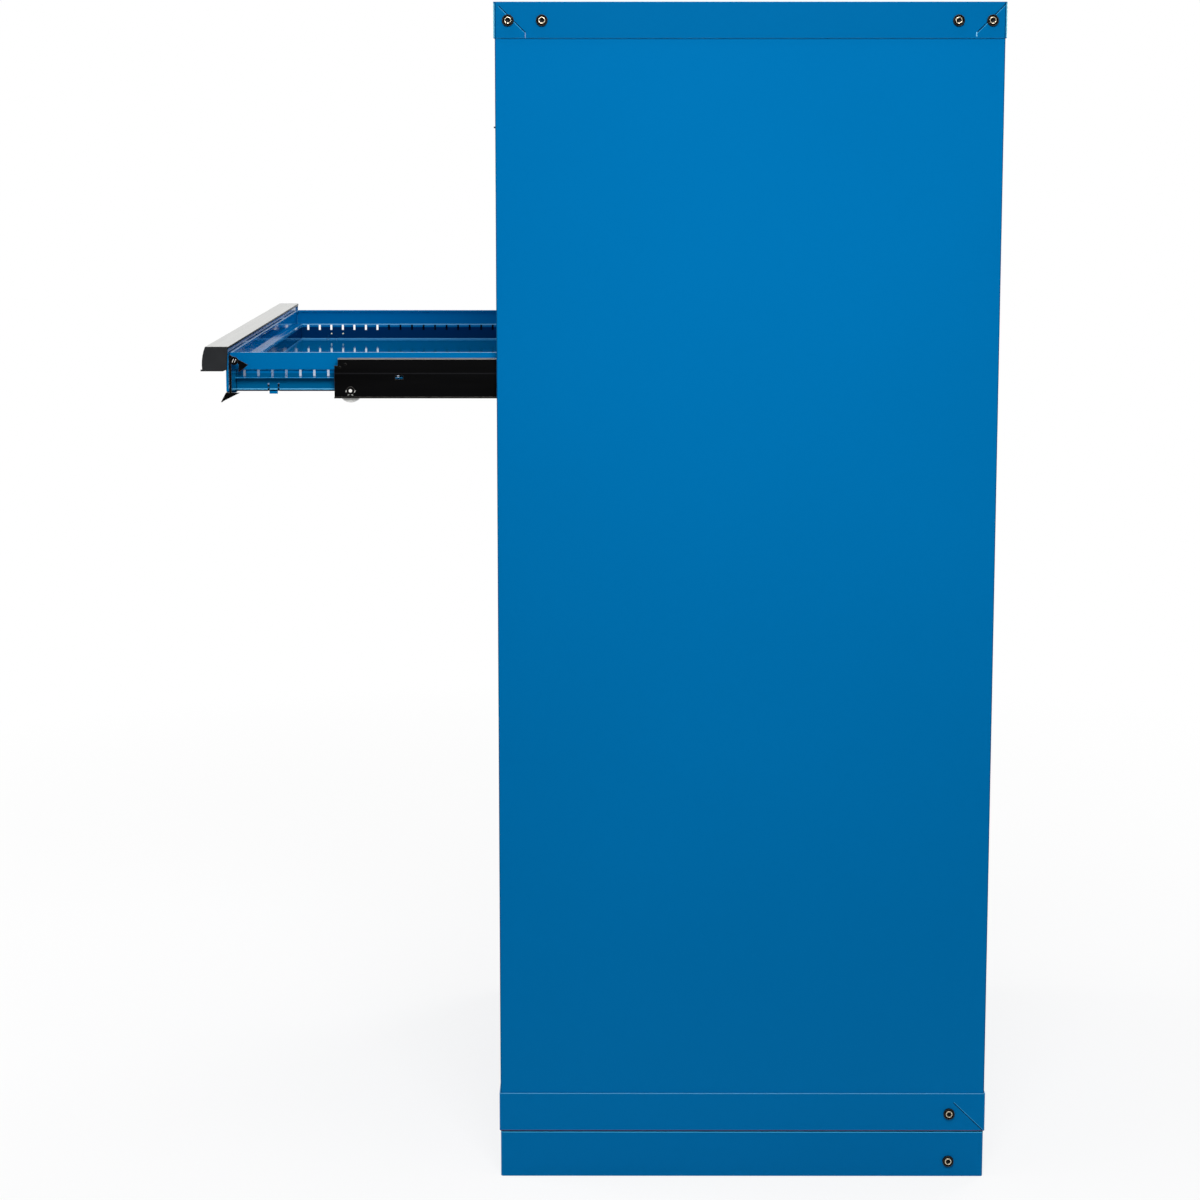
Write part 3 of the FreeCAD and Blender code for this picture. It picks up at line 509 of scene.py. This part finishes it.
# %% White nylon
def nylon():
    material, finish = new_finish("nylon_white")
    where = finish.place()
    turning = finish.noise(finish.stretched(where, (1500.0, 60.0, 60.0)), scale=1.0)
    colour = finish.blend(turning, (0.80, 0.79, 0.75, 1.0), (0.88, 0.87, 0.84, 1.0))
    roughness = turning * 0.15 + 0.32
    glow = {"Emission_Color": (0.9, 0.92, 0.92, 1.0), "Emission_Strength": 0.12}
    finish_with(finish, colour, roughness, turning, 0.02 * MM, **glow)
    return material


finishes["white_nylon"] = nylon()
print("rollers:", finishes["white_nylon"].name)

# %% [markdown]
# Three bare metals are left. The uprights inside are galvanised, with the flat spangles
# of zinc crystals. The screws are zinc plated and passivated, which turns them straw
# coloured. The lock is chrome plated: the smoothest of them, with hairline scratches.


# %% Galvanised, plated and chromed steel
def spangled_zinc():
    material, finish = new_finish("steel_galvanised")
    where = finish.place()
    crystals = finish.add("ShaderNodeTexVoronoi", {}, {"Vector": where, "Scale": 95.0}, "Color")
    tone = finish.add("ShaderNodeSeparateColor", {}, {"Color": crystals})
    fine = finish.noise(where, scale=300.0, detail=3.0)
    colour = finish.blend(tone, (0.46, 0.48, 0.50, 1.0), (0.62, 0.64, 0.65, 1.0))
    roughness = tone * 0.2 + fine * 0.1 + 0.28
    finish_with(finish, colour, roughness, fine, 0.02 * MM, Metallic=1.0)
    return material


def straw_zinc():
    material, finish = new_finish("steel_zinc_straw")
    where = finish.place()
    stain = finish.noise(where, scale=160.0, detail=3.0)
    softened, edge = softened_edges(finish, 0.4 * MM)
    colour = finish.blend(stain, (0.50, 0.42, 0.29, 1.0), (0.78, 0.69, 0.54, 1.0))
    # A paler painted highlight on the edges.
    colour = finish.blend(edge * 0.5, colour, (0.90, 0.86, 0.76, 1.0))
    roughness = stain * 0.2 + 0.24
    finish_with(finish, colour, roughness, stain, 0.03 * MM, softened, Metallic=1.0)
    return material


def chrome():
    material, finish = new_finish("steel_chromed")
    where = finish.place()
    along_cut = finish.stretched(where, (900.0, 40.0, 500.0))
    scratches = finish.noise(along_cut, scale=1.0, detail=5.0)
    colour = finish.blend(scratches, (0.72, 0.73, 0.75, 1.0), (0.82, 0.83, 0.84, 1.0))
    roughness = scratches * 0.08 + 0.06
    finish_with(finish, colour, roughness, scratches, 0.004 * MM, Metallic=1.0)
    return material


finishes["galvanised_steel"] = spangled_zinc()
finishes["zinc_screws"] = straw_zinc()
finishes["chrome_lock"] = chrome()
print("finishes in all:", len(finishes))

# %% [markdown]
# Each node came in with a plain colour named after its material slot. The finish of the
# same name takes its place, and the nodes whose seams, folds or worn lines are painted
# get their own coat.

# %% Dress the cabinet
own_coat = {"top_cap": "cap", "bottom_pan": "pan", "base": "base",
            "side_panel_right": "side", "side_panel_left": "side"}
for drawer in DRAWERS:
    own_coat[drawer + "_tray"] = "tray"
    own_coat[drawer + "_slide_members"] = "slide"
for name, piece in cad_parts.items():
    for holder in piece.material_slots:
        holder.material = finishes[own_coat.get(name, holder.material.name)]
print("dressed", len(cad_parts), "nodes")

# %% [markdown]
# The housing is held by socket screws that sit in black cup washers, whose black is painted
# shade for the shadow round each recessed head. Seen from the side each is three rings: the
# washer, the straw head and the dark hexagon, whose black is painted shade inside the socket.
# Both are turned shapes, so a small lathe makes them: it spins a profile round an axis, and the
# ring that forms the socket follows a hexagon instead of a circle.


# %% A lathe for turned pieces
AROUND = 48
ROUND, SIX_SIDED = False, True


def hexagon(angle):
    """How much further out than its flats a hexagon reaches at an angle."""
    sixth = math.pi / 3.0
    return 1.0 / math.cos((angle % sixth) - sixth / 2.0)


def turn(mesh, profile, centre, outward, inner=None):
    """Spins (radius, height, shape) points in millimetres round an axis along X.

    From the point numbered inner on, the faces take the piece's second finish.
    """
    rings = []
    for radius, height, six_sided in profile:
        ring = []
        for step in range(AROUND):
            angle = 2.0 * math.pi * step / AROUND
            reach = radius * (hexagon(angle) if six_sided else 1.0) * MM
            spot = (outward * height * MM, reach * math.cos(angle), reach * math.sin(angle))
            ring.append(mesh.verts.new(Vector(centre) + Vector(spot)))
        rings.append(ring)
    for number, (low, high) in enumerate(zip(rings, rings[1:])):
        for step in range(AROUND):
            after = (step + 1) % AROUND
            face = mesh.faces.new((low[step], low[after], high[after], high[step]))
            face.material_index = int(inner is not None and number >= inner)
    mesh.faces.new(rings[-1]).material_index = int(inner is not None)


print("a hexagon's corner reaches out", round(hexagon(0.0), 3), "times as far as its flat")

# %% [markdown]
# A mesh becomes a piece of the cabinet in four moves: its faces are turned outwards, its
# gentle folds are shaded smooth, it gets a finish, and it rides on one of the cabinet's
# bodies. A turned piece usually comes as a set, the same on both sides.


# %% From a mesh to a piece
SMOOTH_BELOW = math.radians(35.0)


def finished_piece(name, mesh, finish_name, body):
    """A mesh made into a piece: shaded, dressed, riding on its body."""
    data = bpy.data.meshes.new(name)
    bmesh.ops.recalc_face_normals(mesh, faces=mesh.faces)
    mesh.to_mesh(data)
    mesh.free()
    data.shade_smooth()
    data.set_sharp_from_angle(angle=SMOOTH_BELOW)
    data.materials.append(finishes[finish_name])
    piece = bpy.data.objects.new(name, data)
    bpy.context.scene.collection.objects.link(piece)
    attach(piece, body)
    return piece


def turned_set(name, profile, places, finish_name, body, inner=None):
    """The same turned piece at several places (y, z, seat), on both sides."""
    mesh = bmesh.new()
    for y, z, seat in places:
        for outward in (1.0, -1.0):
            turn(mesh, profile, (outward * seat, y, z), outward, inner)
    return finished_piece(name, mesh, finish_name, body)


print("folds gentler than", round(math.degrees(SMOOTH_BELOW)), "degrees are shaded smooth")

# %% [markdown]
# On each side four screws hold the cap, one the pan and one the base. The turned heads stand in
# the holes of the plain ones that they replace, and the faces inside each socket are black, as
# painted shade.

# %% Socket screws and cup washers
HEAD = [(4.7, 0.1, ROUND), (4.7, 1.9, ROUND), (4.5, 2.6, ROUND), (4.1, 3.0, ROUND),
        (3.5, 3.1, ROUND), (2.95, 2.9, SIX_SIDED), (2.8, 2.5, SIX_SIDED),
        (2.7, 0.9, SIX_SIDED), (0.3, 0.5, SIX_SIDED)]
SHADED_SOCKET_FROM = 5
CUP = [(7.2, 0.0, ROUND), (7.2, 2.2, ROUND), (7.0, 2.9, ROUND), (6.5, 3.2, ROUND),
       (5.8, 2.9, ROUND), (5.1, 1.2, ROUND), (4.7, 0.3, ROUND)]
SEATED = 0.02 * MM
front_edge, back_edge = side_low.y, side_high.y
corner_screw, next_screw, low_screw = 16.2 * MM, 57.6 * MM, back_edge - 45.0 * MM
cap_line = cap_high.z - 22.5 * MM
screw_places = [
    (y, cap_line, cap_high.x - SEATED)
    for y in (front_edge + corner_screw, front_edge + next_screw,
              back_edge - next_screw, back_edge - corner_screw)
]
screw_places.append((low_screw, 85.0 * MM, pan_high.x - SEATED))
screw_places.append((low_screw, 20.6 * MM, side_high.x - SEATED))
heads = turned_set(
    "socket_screws", HEAD, screw_places, "zinc_screws", "housing", SHADED_SOCKET_FROM)
heads.data.materials.append(finishes["black_enamel"])
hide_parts("housing_screws")
# Black cup washers, whose black is painted shade for the shadow round each head.
turned_set("shade_cup_washers", CUP, screw_places, "black_enamel", "housing")
screws = 2 * len(screw_places)
print("screws:", screws, "faces each:", len(heads.data.polygons) // screws)

# %% [markdown]
# Close to, each drawer carries small parts that the eye reads as quality. Most are bits
# of sheet or wire: a plate is a box with eased edges, and a leaning bar is a small plate
# turned in the plane of the side.


# %% Plates and leaning bars
SHEET_EASE, BAR_EASE = 0.25 * MM, 0.12 * MM


def plate(mesh, low, high, ease=SHEET_EASE):
    """A sheet-metal plate between two corners, its edges eased."""
    made = bmesh.ops.create_cube(mesh, size=1.0)["verts"]
    low, high = Vector(low), Vector(high)
    for vert in made:
        vert.co = Vector(a + (b - a) * (c + 0.5) for a, b, c in zip(low, high, vert.co))
    edges = list(dict.fromkeys(edge for vert in made for edge in vert.link_edges))
    bmesh.ops.bevel(mesh, geom=edges, offset=ease, segments=2, affect="EDGES", profile=0.5)


def far_plate(mesh, low, high):
    """The mirror image of a plate, on the cabinet's left side."""
    plate(mesh, (-high[0], low[1], low[2]), (-low[0], high[1], high[2]))


def both_sides(mesh, low, high):
    plate(mesh, low, high)
    far_plate(mesh, low, high)


def leaning_bar(mesh, centre, half, lean):
    """A small bar in the side's plane, turned by lean degrees about X."""
    low = [c - h for c, h in zip(centre, half)]
    high = [c + h for c, h in zip(centre, half)]
    before = set(mesh.verts)
    plate(mesh, low, high, BAR_EASE)
    bar = [vert for vert in mesh.verts if vert not in before]
    turned = Matrix.Rotation(math.radians(lean), 3, "X")
    bmesh.ops.rotate(mesh, verts=bar, cent=centre, matrix=turned)


print("edges eased by", round(SHEET_EASE / MM, 2), "and", round(BAR_EASE / MM, 2), "mm")

# %% [markdown]
# Three things ride on a drawer's slides: the two rivets of the stop at the front end, a
# cover behind the small window on the left side, and the nylon hub of the roller, whose
# retaining clip shows as four little bars round the axle. Distances are measured from
# the slide's own corners and the roller's axle, so the parts stay on it whatever its
# height.


# %% What rides on the slides
RIVET = [(1.7, 0.0, ROUND), (1.7, 0.3, ROUND), (1.4, 0.6, ROUND), (0.8, 0.75, ROUND),
         (0.2, 0.8, ROUND)]
HUB = [(2.2, 0.0, ROUND), (2.2, 0.45, ROUND), (2.0, 0.7, ROUND), (1.2, 0.75, ROUND),
       (1.0, 0.4, ROUND), (0.2, 0.4, ROUND)]
STOPS = ((7.0, 38.6), (14.0, 42.4))
HUB_CLIP = ((-5.4, -0.6, 8.0), (5.4, -0.9, 28.0), (-2.2, -5.0, 70.0), (2.0, -5.2, 104.0))
HUB_BAR = (0.3 * MM, 0.4 * MM, 1.4 * MM)
WEB_INSET, HUB_PROUD, CLIP_PROUD = 3.5 * MM, 0.8 * MM, 0.2 * MM
WINDOW_BACK, WINDOW_DOWN = 76.0 * MM, 26.0 * MM
COVER_LOW, COVER_HIGH = Vector((0.8, 1.5, 1.5)) * MM, Vector((0.0, 11.5, 6.5)) * MM


def slide_parts(drawer):
    slides = drawer + "_slides"
    member_low, member_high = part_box(drawer + "_slide_members")
    web = member_high.x - WEB_INSET
    stops = [(member_low.y + along * MM, member_low.z + up * MM, web) for along, up in STOPS]
    turned_set(drawer + "_stop_rivets", RIVET, stops, "black_enamel", slides)

    cover = bmesh.new()
    window = Vector((-web, member_low.y + WINDOW_BACK, member_high.z - WINDOW_DOWN))
    plate(cover, window - COVER_LOW, window + COVER_HIGH)
    finished_piece(drawer + "_window_cover", cover, "black_enamel", slides)

    roller_low, roller_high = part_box(drawer + "_rollers")
    axle = (roller_low + roller_high) / 2.0
    hubs = bmesh.new()
    for outward in (1.0, -1.0):
        turn(hubs, HUB, (outward * (web + HUB_PROUD), axle.y, axle.z), outward)
        for along, up, lean in HUB_CLIP:
            centre = (outward * (web + CLIP_PROUD), axle.y + along * MM, axle.z + up * MM)
            leaning_bar(hubs, centre, HUB_BAR, -lean)
    finished_piece(drawer + "_roller_hubs", hubs, "white_nylon", slides)


print("stop rivets a side:", len(STOPS), "clip bars a hub:", len(HUB_CLIP))

# %% [markdown]
# The latch's crank plates turn on a stud at each front corner of the tray. A flat washer covers
# the stud's end, and the two bent ears of a clip keep the plate on it. The ears are dressed in
# the white nylon as a painted highlight, the glint on the clip.


# %% The latch's washer and clip
WASHER = [(5.2, 0.0, ROUND), (5.2, 0.2, ROUND), (5.0, 0.35, ROUND), (0.3, 0.35, ROUND)]
PIVOT_BACK, PIVOT_UP = 7.2 * MM, 43.1 * MM
EAR = (0.3 * MM, 0.4 * MM, 2.4 * MM)
EAR_PROUD, EAR_APART, EAR_LEAN = 0.45 * MM, 1.4 * MM, -24.0


def pivot_parts(drawer):
    tray_low, tray_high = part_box(drawer + "_tray")
    y, z = tray_low.y + PIVOT_BACK, tray_low.z + PIVOT_UP
    ears = bmesh.new()
    for outward in (1.0, -1.0):
        for along in (-EAR_APART, EAR_APART):
            centre = (outward * (tray_high.x + EAR_PROUD), y + along, z)
            leaning_bar(ears, centre, EAR, EAR_LEAN)
    # White ears: a painted highlight on the clip.
    finished_piece(drawer + "_pivot_clips", ears, "white_nylon", drawer)
    seat = [(y, z, tray_high.x + SEATED)]
    turned_set(drawer + "_pivot_washers", WASHER, seat, "black_enamel", drawer)


print("pivot, behind the tray's front and up, in mm:",
      round(PIVOT_BACK / MM, 1), round(PIVOT_UP / MM, 1))

# %% [markdown]
# Low on each of the tray's walls are the two punched rivets of its rail, a plate that closes
# the corner behind the front with a foot under it, and what shows through the two slits that
# were left where the hanging tabs were bent out. Behind each slit a black sheet stands as
# painted shade; at a near slit a blue one in front of it leaves a dark line of that painted
# shade open at the top. A far slit is closed right up by a blue sheet. Places are millimetres
# inwards from the wall, back from the tray's front and up from its underside.


# %% The tray's rivets and plates
PUNCHED = [(1.6, 0.0, ROUND), (1.6, 0.3, ROUND), (1.3, 0.55, ROUND), (0.7, 0.7, ROUND),
           (0.2, 0.75, ROUND)]
WALL_INSET = 18.5 * MM
RAIL_BEHIND, RAIL_UP, RAIL_RIVETS = 1.22, 16.2, (52.5, 70.0)
CORNER = (1.2, 0.2, 3.4), (0.0, 8.0, 31.5)
FOOT = (1.2, -2.8, 3.1), (-16.3, 9.0, 5.0)
# The dark line at each slit is painted shade.
SLITS = ((45.4, 2.4), (57.8, 1.2))  # where each starts and how high its dark line is
SLIT_LENGTH, SLIT_LOW, SLIT_TOP = 4.0, 8.3, 13.6
BEHIND_WALL = 1.25


def tray_parts(drawer):
    tray_low, tray_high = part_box(drawer + "_tray")
    wall = tray_high.x - WALL_INSET

    def spot(inward, back, up):
        return wall - inward * MM, tray_low.y + back * MM, tray_low.z + up * MM

    rivets = bmesh.new()
    for back in RAIL_RIVETS:
        x, y, z = spot(RAIL_BEHIND, back, RAIL_UP)
        turn(rivets, PUNCHED, (-x, y, z), 1.0)
        turn(rivets, PUNCHED, (x, y, z), -1.0)
    finished_piece(drawer + "_rail_rivets", rivets, "zinc_screws", drawer)

    sheets, shades = bmesh.new(), bmesh.new()
    for low, high in (CORNER, FOOT):
        both_sides(sheets, spot(*low), spot(*high))
    for start, line in SLITS:
        stop, line_low = start + SLIT_LENGTH, SLIT_TOP - line
        # Black plates behind the slits, as painted shade.
        both_sides(shades, spot(2.2, start, 3.5), spot(BEHIND_WALL, stop, 7.0))
        both_sides(shades, spot(1.9, start, SLIT_LOW), spot(BEHIND_WALL, stop, line_low - 0.1))
        plate(sheets, spot(2.5, start, SLIT_LOW), spot(2.0, stop, line_low))
        far_plate(sheets, spot(2.5, start, SLIT_LOW), spot(2.0, stop, SLIT_TOP + 0.4))
    finished_piece(drawer + "_corner_plates", sheets, "tray", drawer)
    finished_piece(drawer + "_slit_shade_plates", shades, "black_enamel", drawer)


print("rivets a side:", len(RAIL_RIVETS), "slits a side:", len(SLITS))

# %% [markdown]
# A thin black strip of painted shade lies along the back of the handle, between it and the
# front, and stops short of the end caps.


# %% The handle's seal
STRIP_SHORT, STRIP_LAPS, STRIP_THICK = 1.0 * MM, 0.05 * MM, 0.75 * MM
STRIP_TOP, STRIP_FOOT = 0.15 * MM, 2.6 * MM


def handle_shade_strip(drawer):
    grip_low, grip_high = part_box(drawer + "_handle")
    shade_strip = bmesh.new()
    # A black strip of painted shade behind the handle.
    plate(shade_strip,
          (grip_low.x + STRIP_SHORT, grip_high.y - STRIP_LAPS, grip_high.z - STRIP_FOOT),
          (grip_high.x - STRIP_SHORT, grip_high.y + STRIP_THICK, grip_high.z - STRIP_TOP))
    finished_piece(drawer + "_handle_shade_strip", shade_strip, "black_plastic", drawer)


print("seal height:", round((STRIP_FOOT - STRIP_TOP) / MM, 2), "mm")

# %% [markdown]
# The seven drawers are alike, so one loop fits the small parts to all of them. Every part
# rides on the drawer or on its slides, and moves with it.

# %% Fit out the drawers
for drawer in DRAWERS:
    slide_parts(drawer)
    pivot_parts(drawer)
    tray_parts(drawer)
    handle_shade_strip(drawer)

# %% [markdown]
# The photograph is a studio picture on white. The floor is a wide pale sheet. Near the
# cabinet three tenths of what the camera sees of it is lit paper, which takes the shadow,
# and the rest is plain white. Further out it is all white, as the surroundings are, so
# that no horizon shows. Mirrored in the enamel it dims towards the camera's side.

# %% Floor
FLOOR_SIZE = 60.0
WHITE, BLACK = (1.0, 1.0, 1.0, 1.0), (0.0, 0.0, 0.0, 1.0)
PAPER = (0.54, 0.54, 0.54, 1.0), (0.56, 0.56, 0.56, 1.0)
PAPER_GLOW, NEAR_WHITE, DIMMEST = 0.42, 0.7, 0.1
FADE_FROM, FADE_RATE = 1.0, 0.6  # metres from the middle, share per metre
DIM_TO, DIM_RATE = 1.3, 1.5  # metres to the camera's side, share per metre
bpy.ops.mesh.primitive_grid_add(size=FLOOR_SIZE, x_subdivisions=8, y_subdivisions=8)
floor = bpy.context.object
floor.name = "floor"
floor_material, finish = new_finish("floor_white")
where = finish.place()
reach = finish.add("ShaderNodeVectorMath", {"operation": "LENGTH"}, {0: where}, "Value")
far = ((reach - FADE_FROM) * FADE_RATE).clamped() * (1.0 - NEAR_WHITE) + NEAR_WHITE
mottle = finish.noise(where, scale=1.5)
rays = finish.add("ShaderNodeLightPath", {}, {})
mirrored = rays.output("Is Glossy Ray")
seen = (rays + mirrored + rays.output("Is Transmission Ray")).clamped()
lit = ((DIM_TO - finish.split(where)[0]) * DIM_RATE).clamped()
open_side = lit * (1.0 - DIMMEST) + DIMMEST
matt = finish.add("ShaderNodeBsdfDiffuse", {}, {"Color": finish.blend(mottle, *PAPER)})
glow = finish.add("ShaderNodeEmission", {}, {"Color": WHITE, "Strength": PAPER_GLOW})
dark = finish.add("ShaderNodeEmission", {}, {"Color": BLACK})
lift = finish.add("ShaderNodeMixShader", {}, {0: seen, 1: dark, 2: glow})
near = finish.add("ShaderNodeAddShader", {}, {0: matt, 1: lift})
level = 1.0 - mirrored * (1.0 - open_side)
white = finish.add("ShaderNodeEmission", {}, {"Color": WHITE, "Strength": level})
covered = (far * seen + mirrored).clamped()
surface = finish.add("ShaderNodeMixShader", {}, {0: covered, 1: near, 2: white})
finish.add("ShaderNodeOutputMaterial", {}, {"Surface": surface})
floor.data.materials.append(floor_material)
print("floor:", tuple(round(v, 1) for v in floor.dimensions))

# %% [markdown]
# The room itself is white to the camera and in reflections, but behind the camera a
# studio is dark, and that is why the big glossy panel stays a deep blue instead of
# showing a grey sheen. So reflections fade as they look towards the camera's side. As
# light on the cabinet the room counts for only a quarter of that white, which leaves the
# lamps to shape it.

# %% Surroundings
ROOM_LIGHT, BEHIND_CAMERA = 0.25, 0.06
DARK_FROM, DARK_RATE = 0.75, 2.0  # how far a direction leans to the camera's side
world = bpy.data.worlds.new("studio")
bpy.context.scene.world = world
world.use_nodes = True
sky = Finish(world.node_tree)
toward = sky.add("ShaderNodeTexCoord", {}, {}, "Generated")
side = sky.split(toward)[0]
rays = sky.add("ShaderNodeLightPath", {}, {})
mirrored = rays.output("Is Glossy Ray")
open_side = ((DARK_FROM - side) * DARK_RATE).clamped()
reflected = open_side * (1.0 - BEHIND_CAMERA) + BEHIND_CAMERA
level = rays + (1.0 - rays) * (mirrored * reflected + (1.0 - mirrored) * ROOM_LIGHT)
background = sky.add("ShaderNodeBackground", {}, {"Color": WHITE, "Strength": level})
sky.add("ShaderNodeOutputWorld", {}, {"Surface": background})
print("world nodes:", len(world.node_tree.nodes))

# %% [markdown]
# Four soft boxes light it. The key hangs high on the camera's side, so the panel is
# brightest in its upper half and falls away towards the floor. One faces the drawer
# fronts, one hangs above for the open tray, and one keeps the back from going black.


# %% Lamps
def soft_box(name, place, target, width, height, power, spread=180.0):
    """A rectangular lamp at a place, turned to face its target."""
    lamp = bpy.data.lights.new(name, "AREA")
    lamp.shape = "RECTANGLE"
    lamp.size = width
    lamp.size_y = height
    lamp.energy = power
    lamp.spread = math.radians(spread)
    holder = bpy.data.objects.new(name, lamp)
    bpy.context.scene.collection.objects.link(holder)
    holder.location = place
    aim = Vector(target) - Vector(place)
    holder.rotation_euler = aim.to_track_quat("-Z", "Y").to_euler()


soft_box("key", (2.2, 0.0, 2.15), (0.38, 0.0, 0.85), width=1.0, height=0.8, power=16.0,
         spread=110.0)
soft_box("front_fill", (-0.4, -3.6, 2.0), (0.0, -0.3, 0.8), width=1.6, height=1.6, power=45.0)
soft_box("top", (0.0, -0.3, 3.6), (0.0, -0.2, 0.0), width=2.0, height=2.0, power=42.0)
soft_box("rear_fill", (-2.6, 2.4, 1.9), (0.0, 0.0, 0.8), width=1.6, height=1.6, power=42.0)

# %% [markdown]
# The camera stands 3.3 m from the right side panel, a little above the open drawer. Its
# long lens is tilted down and shifted the rest of the way, which keeps the cabinet's
# edges nearly upright, as they are in the photograph.

# %% Camera
TILT, TURN = 7.9, 90.1
camera_data = bpy.data.cameras.new("camera")
camera = bpy.data.objects.new("camera", camera_data)
bpy.context.scene.collection.objects.link(camera)
camera.location = (3.666, -0.171, 1.367)
camera.rotation_euler = (math.radians(90.0 - TILT), 0.0, math.radians(TURN))
camera_data.sensor_width = 36.0
camera_data.lens = 79.6
camera_data.shift_x = -0.0045
camera_data.shift_y = -0.1
camera_data.clip_end = 200.0
bpy.context.scene.camera = camera
bpy.context.scene.view_settings.view_transform = "Standard"
print("camera tilt:", TILT, "shift:", camera_data.shift_x, camera_data.shift_y)

# %% [markdown]
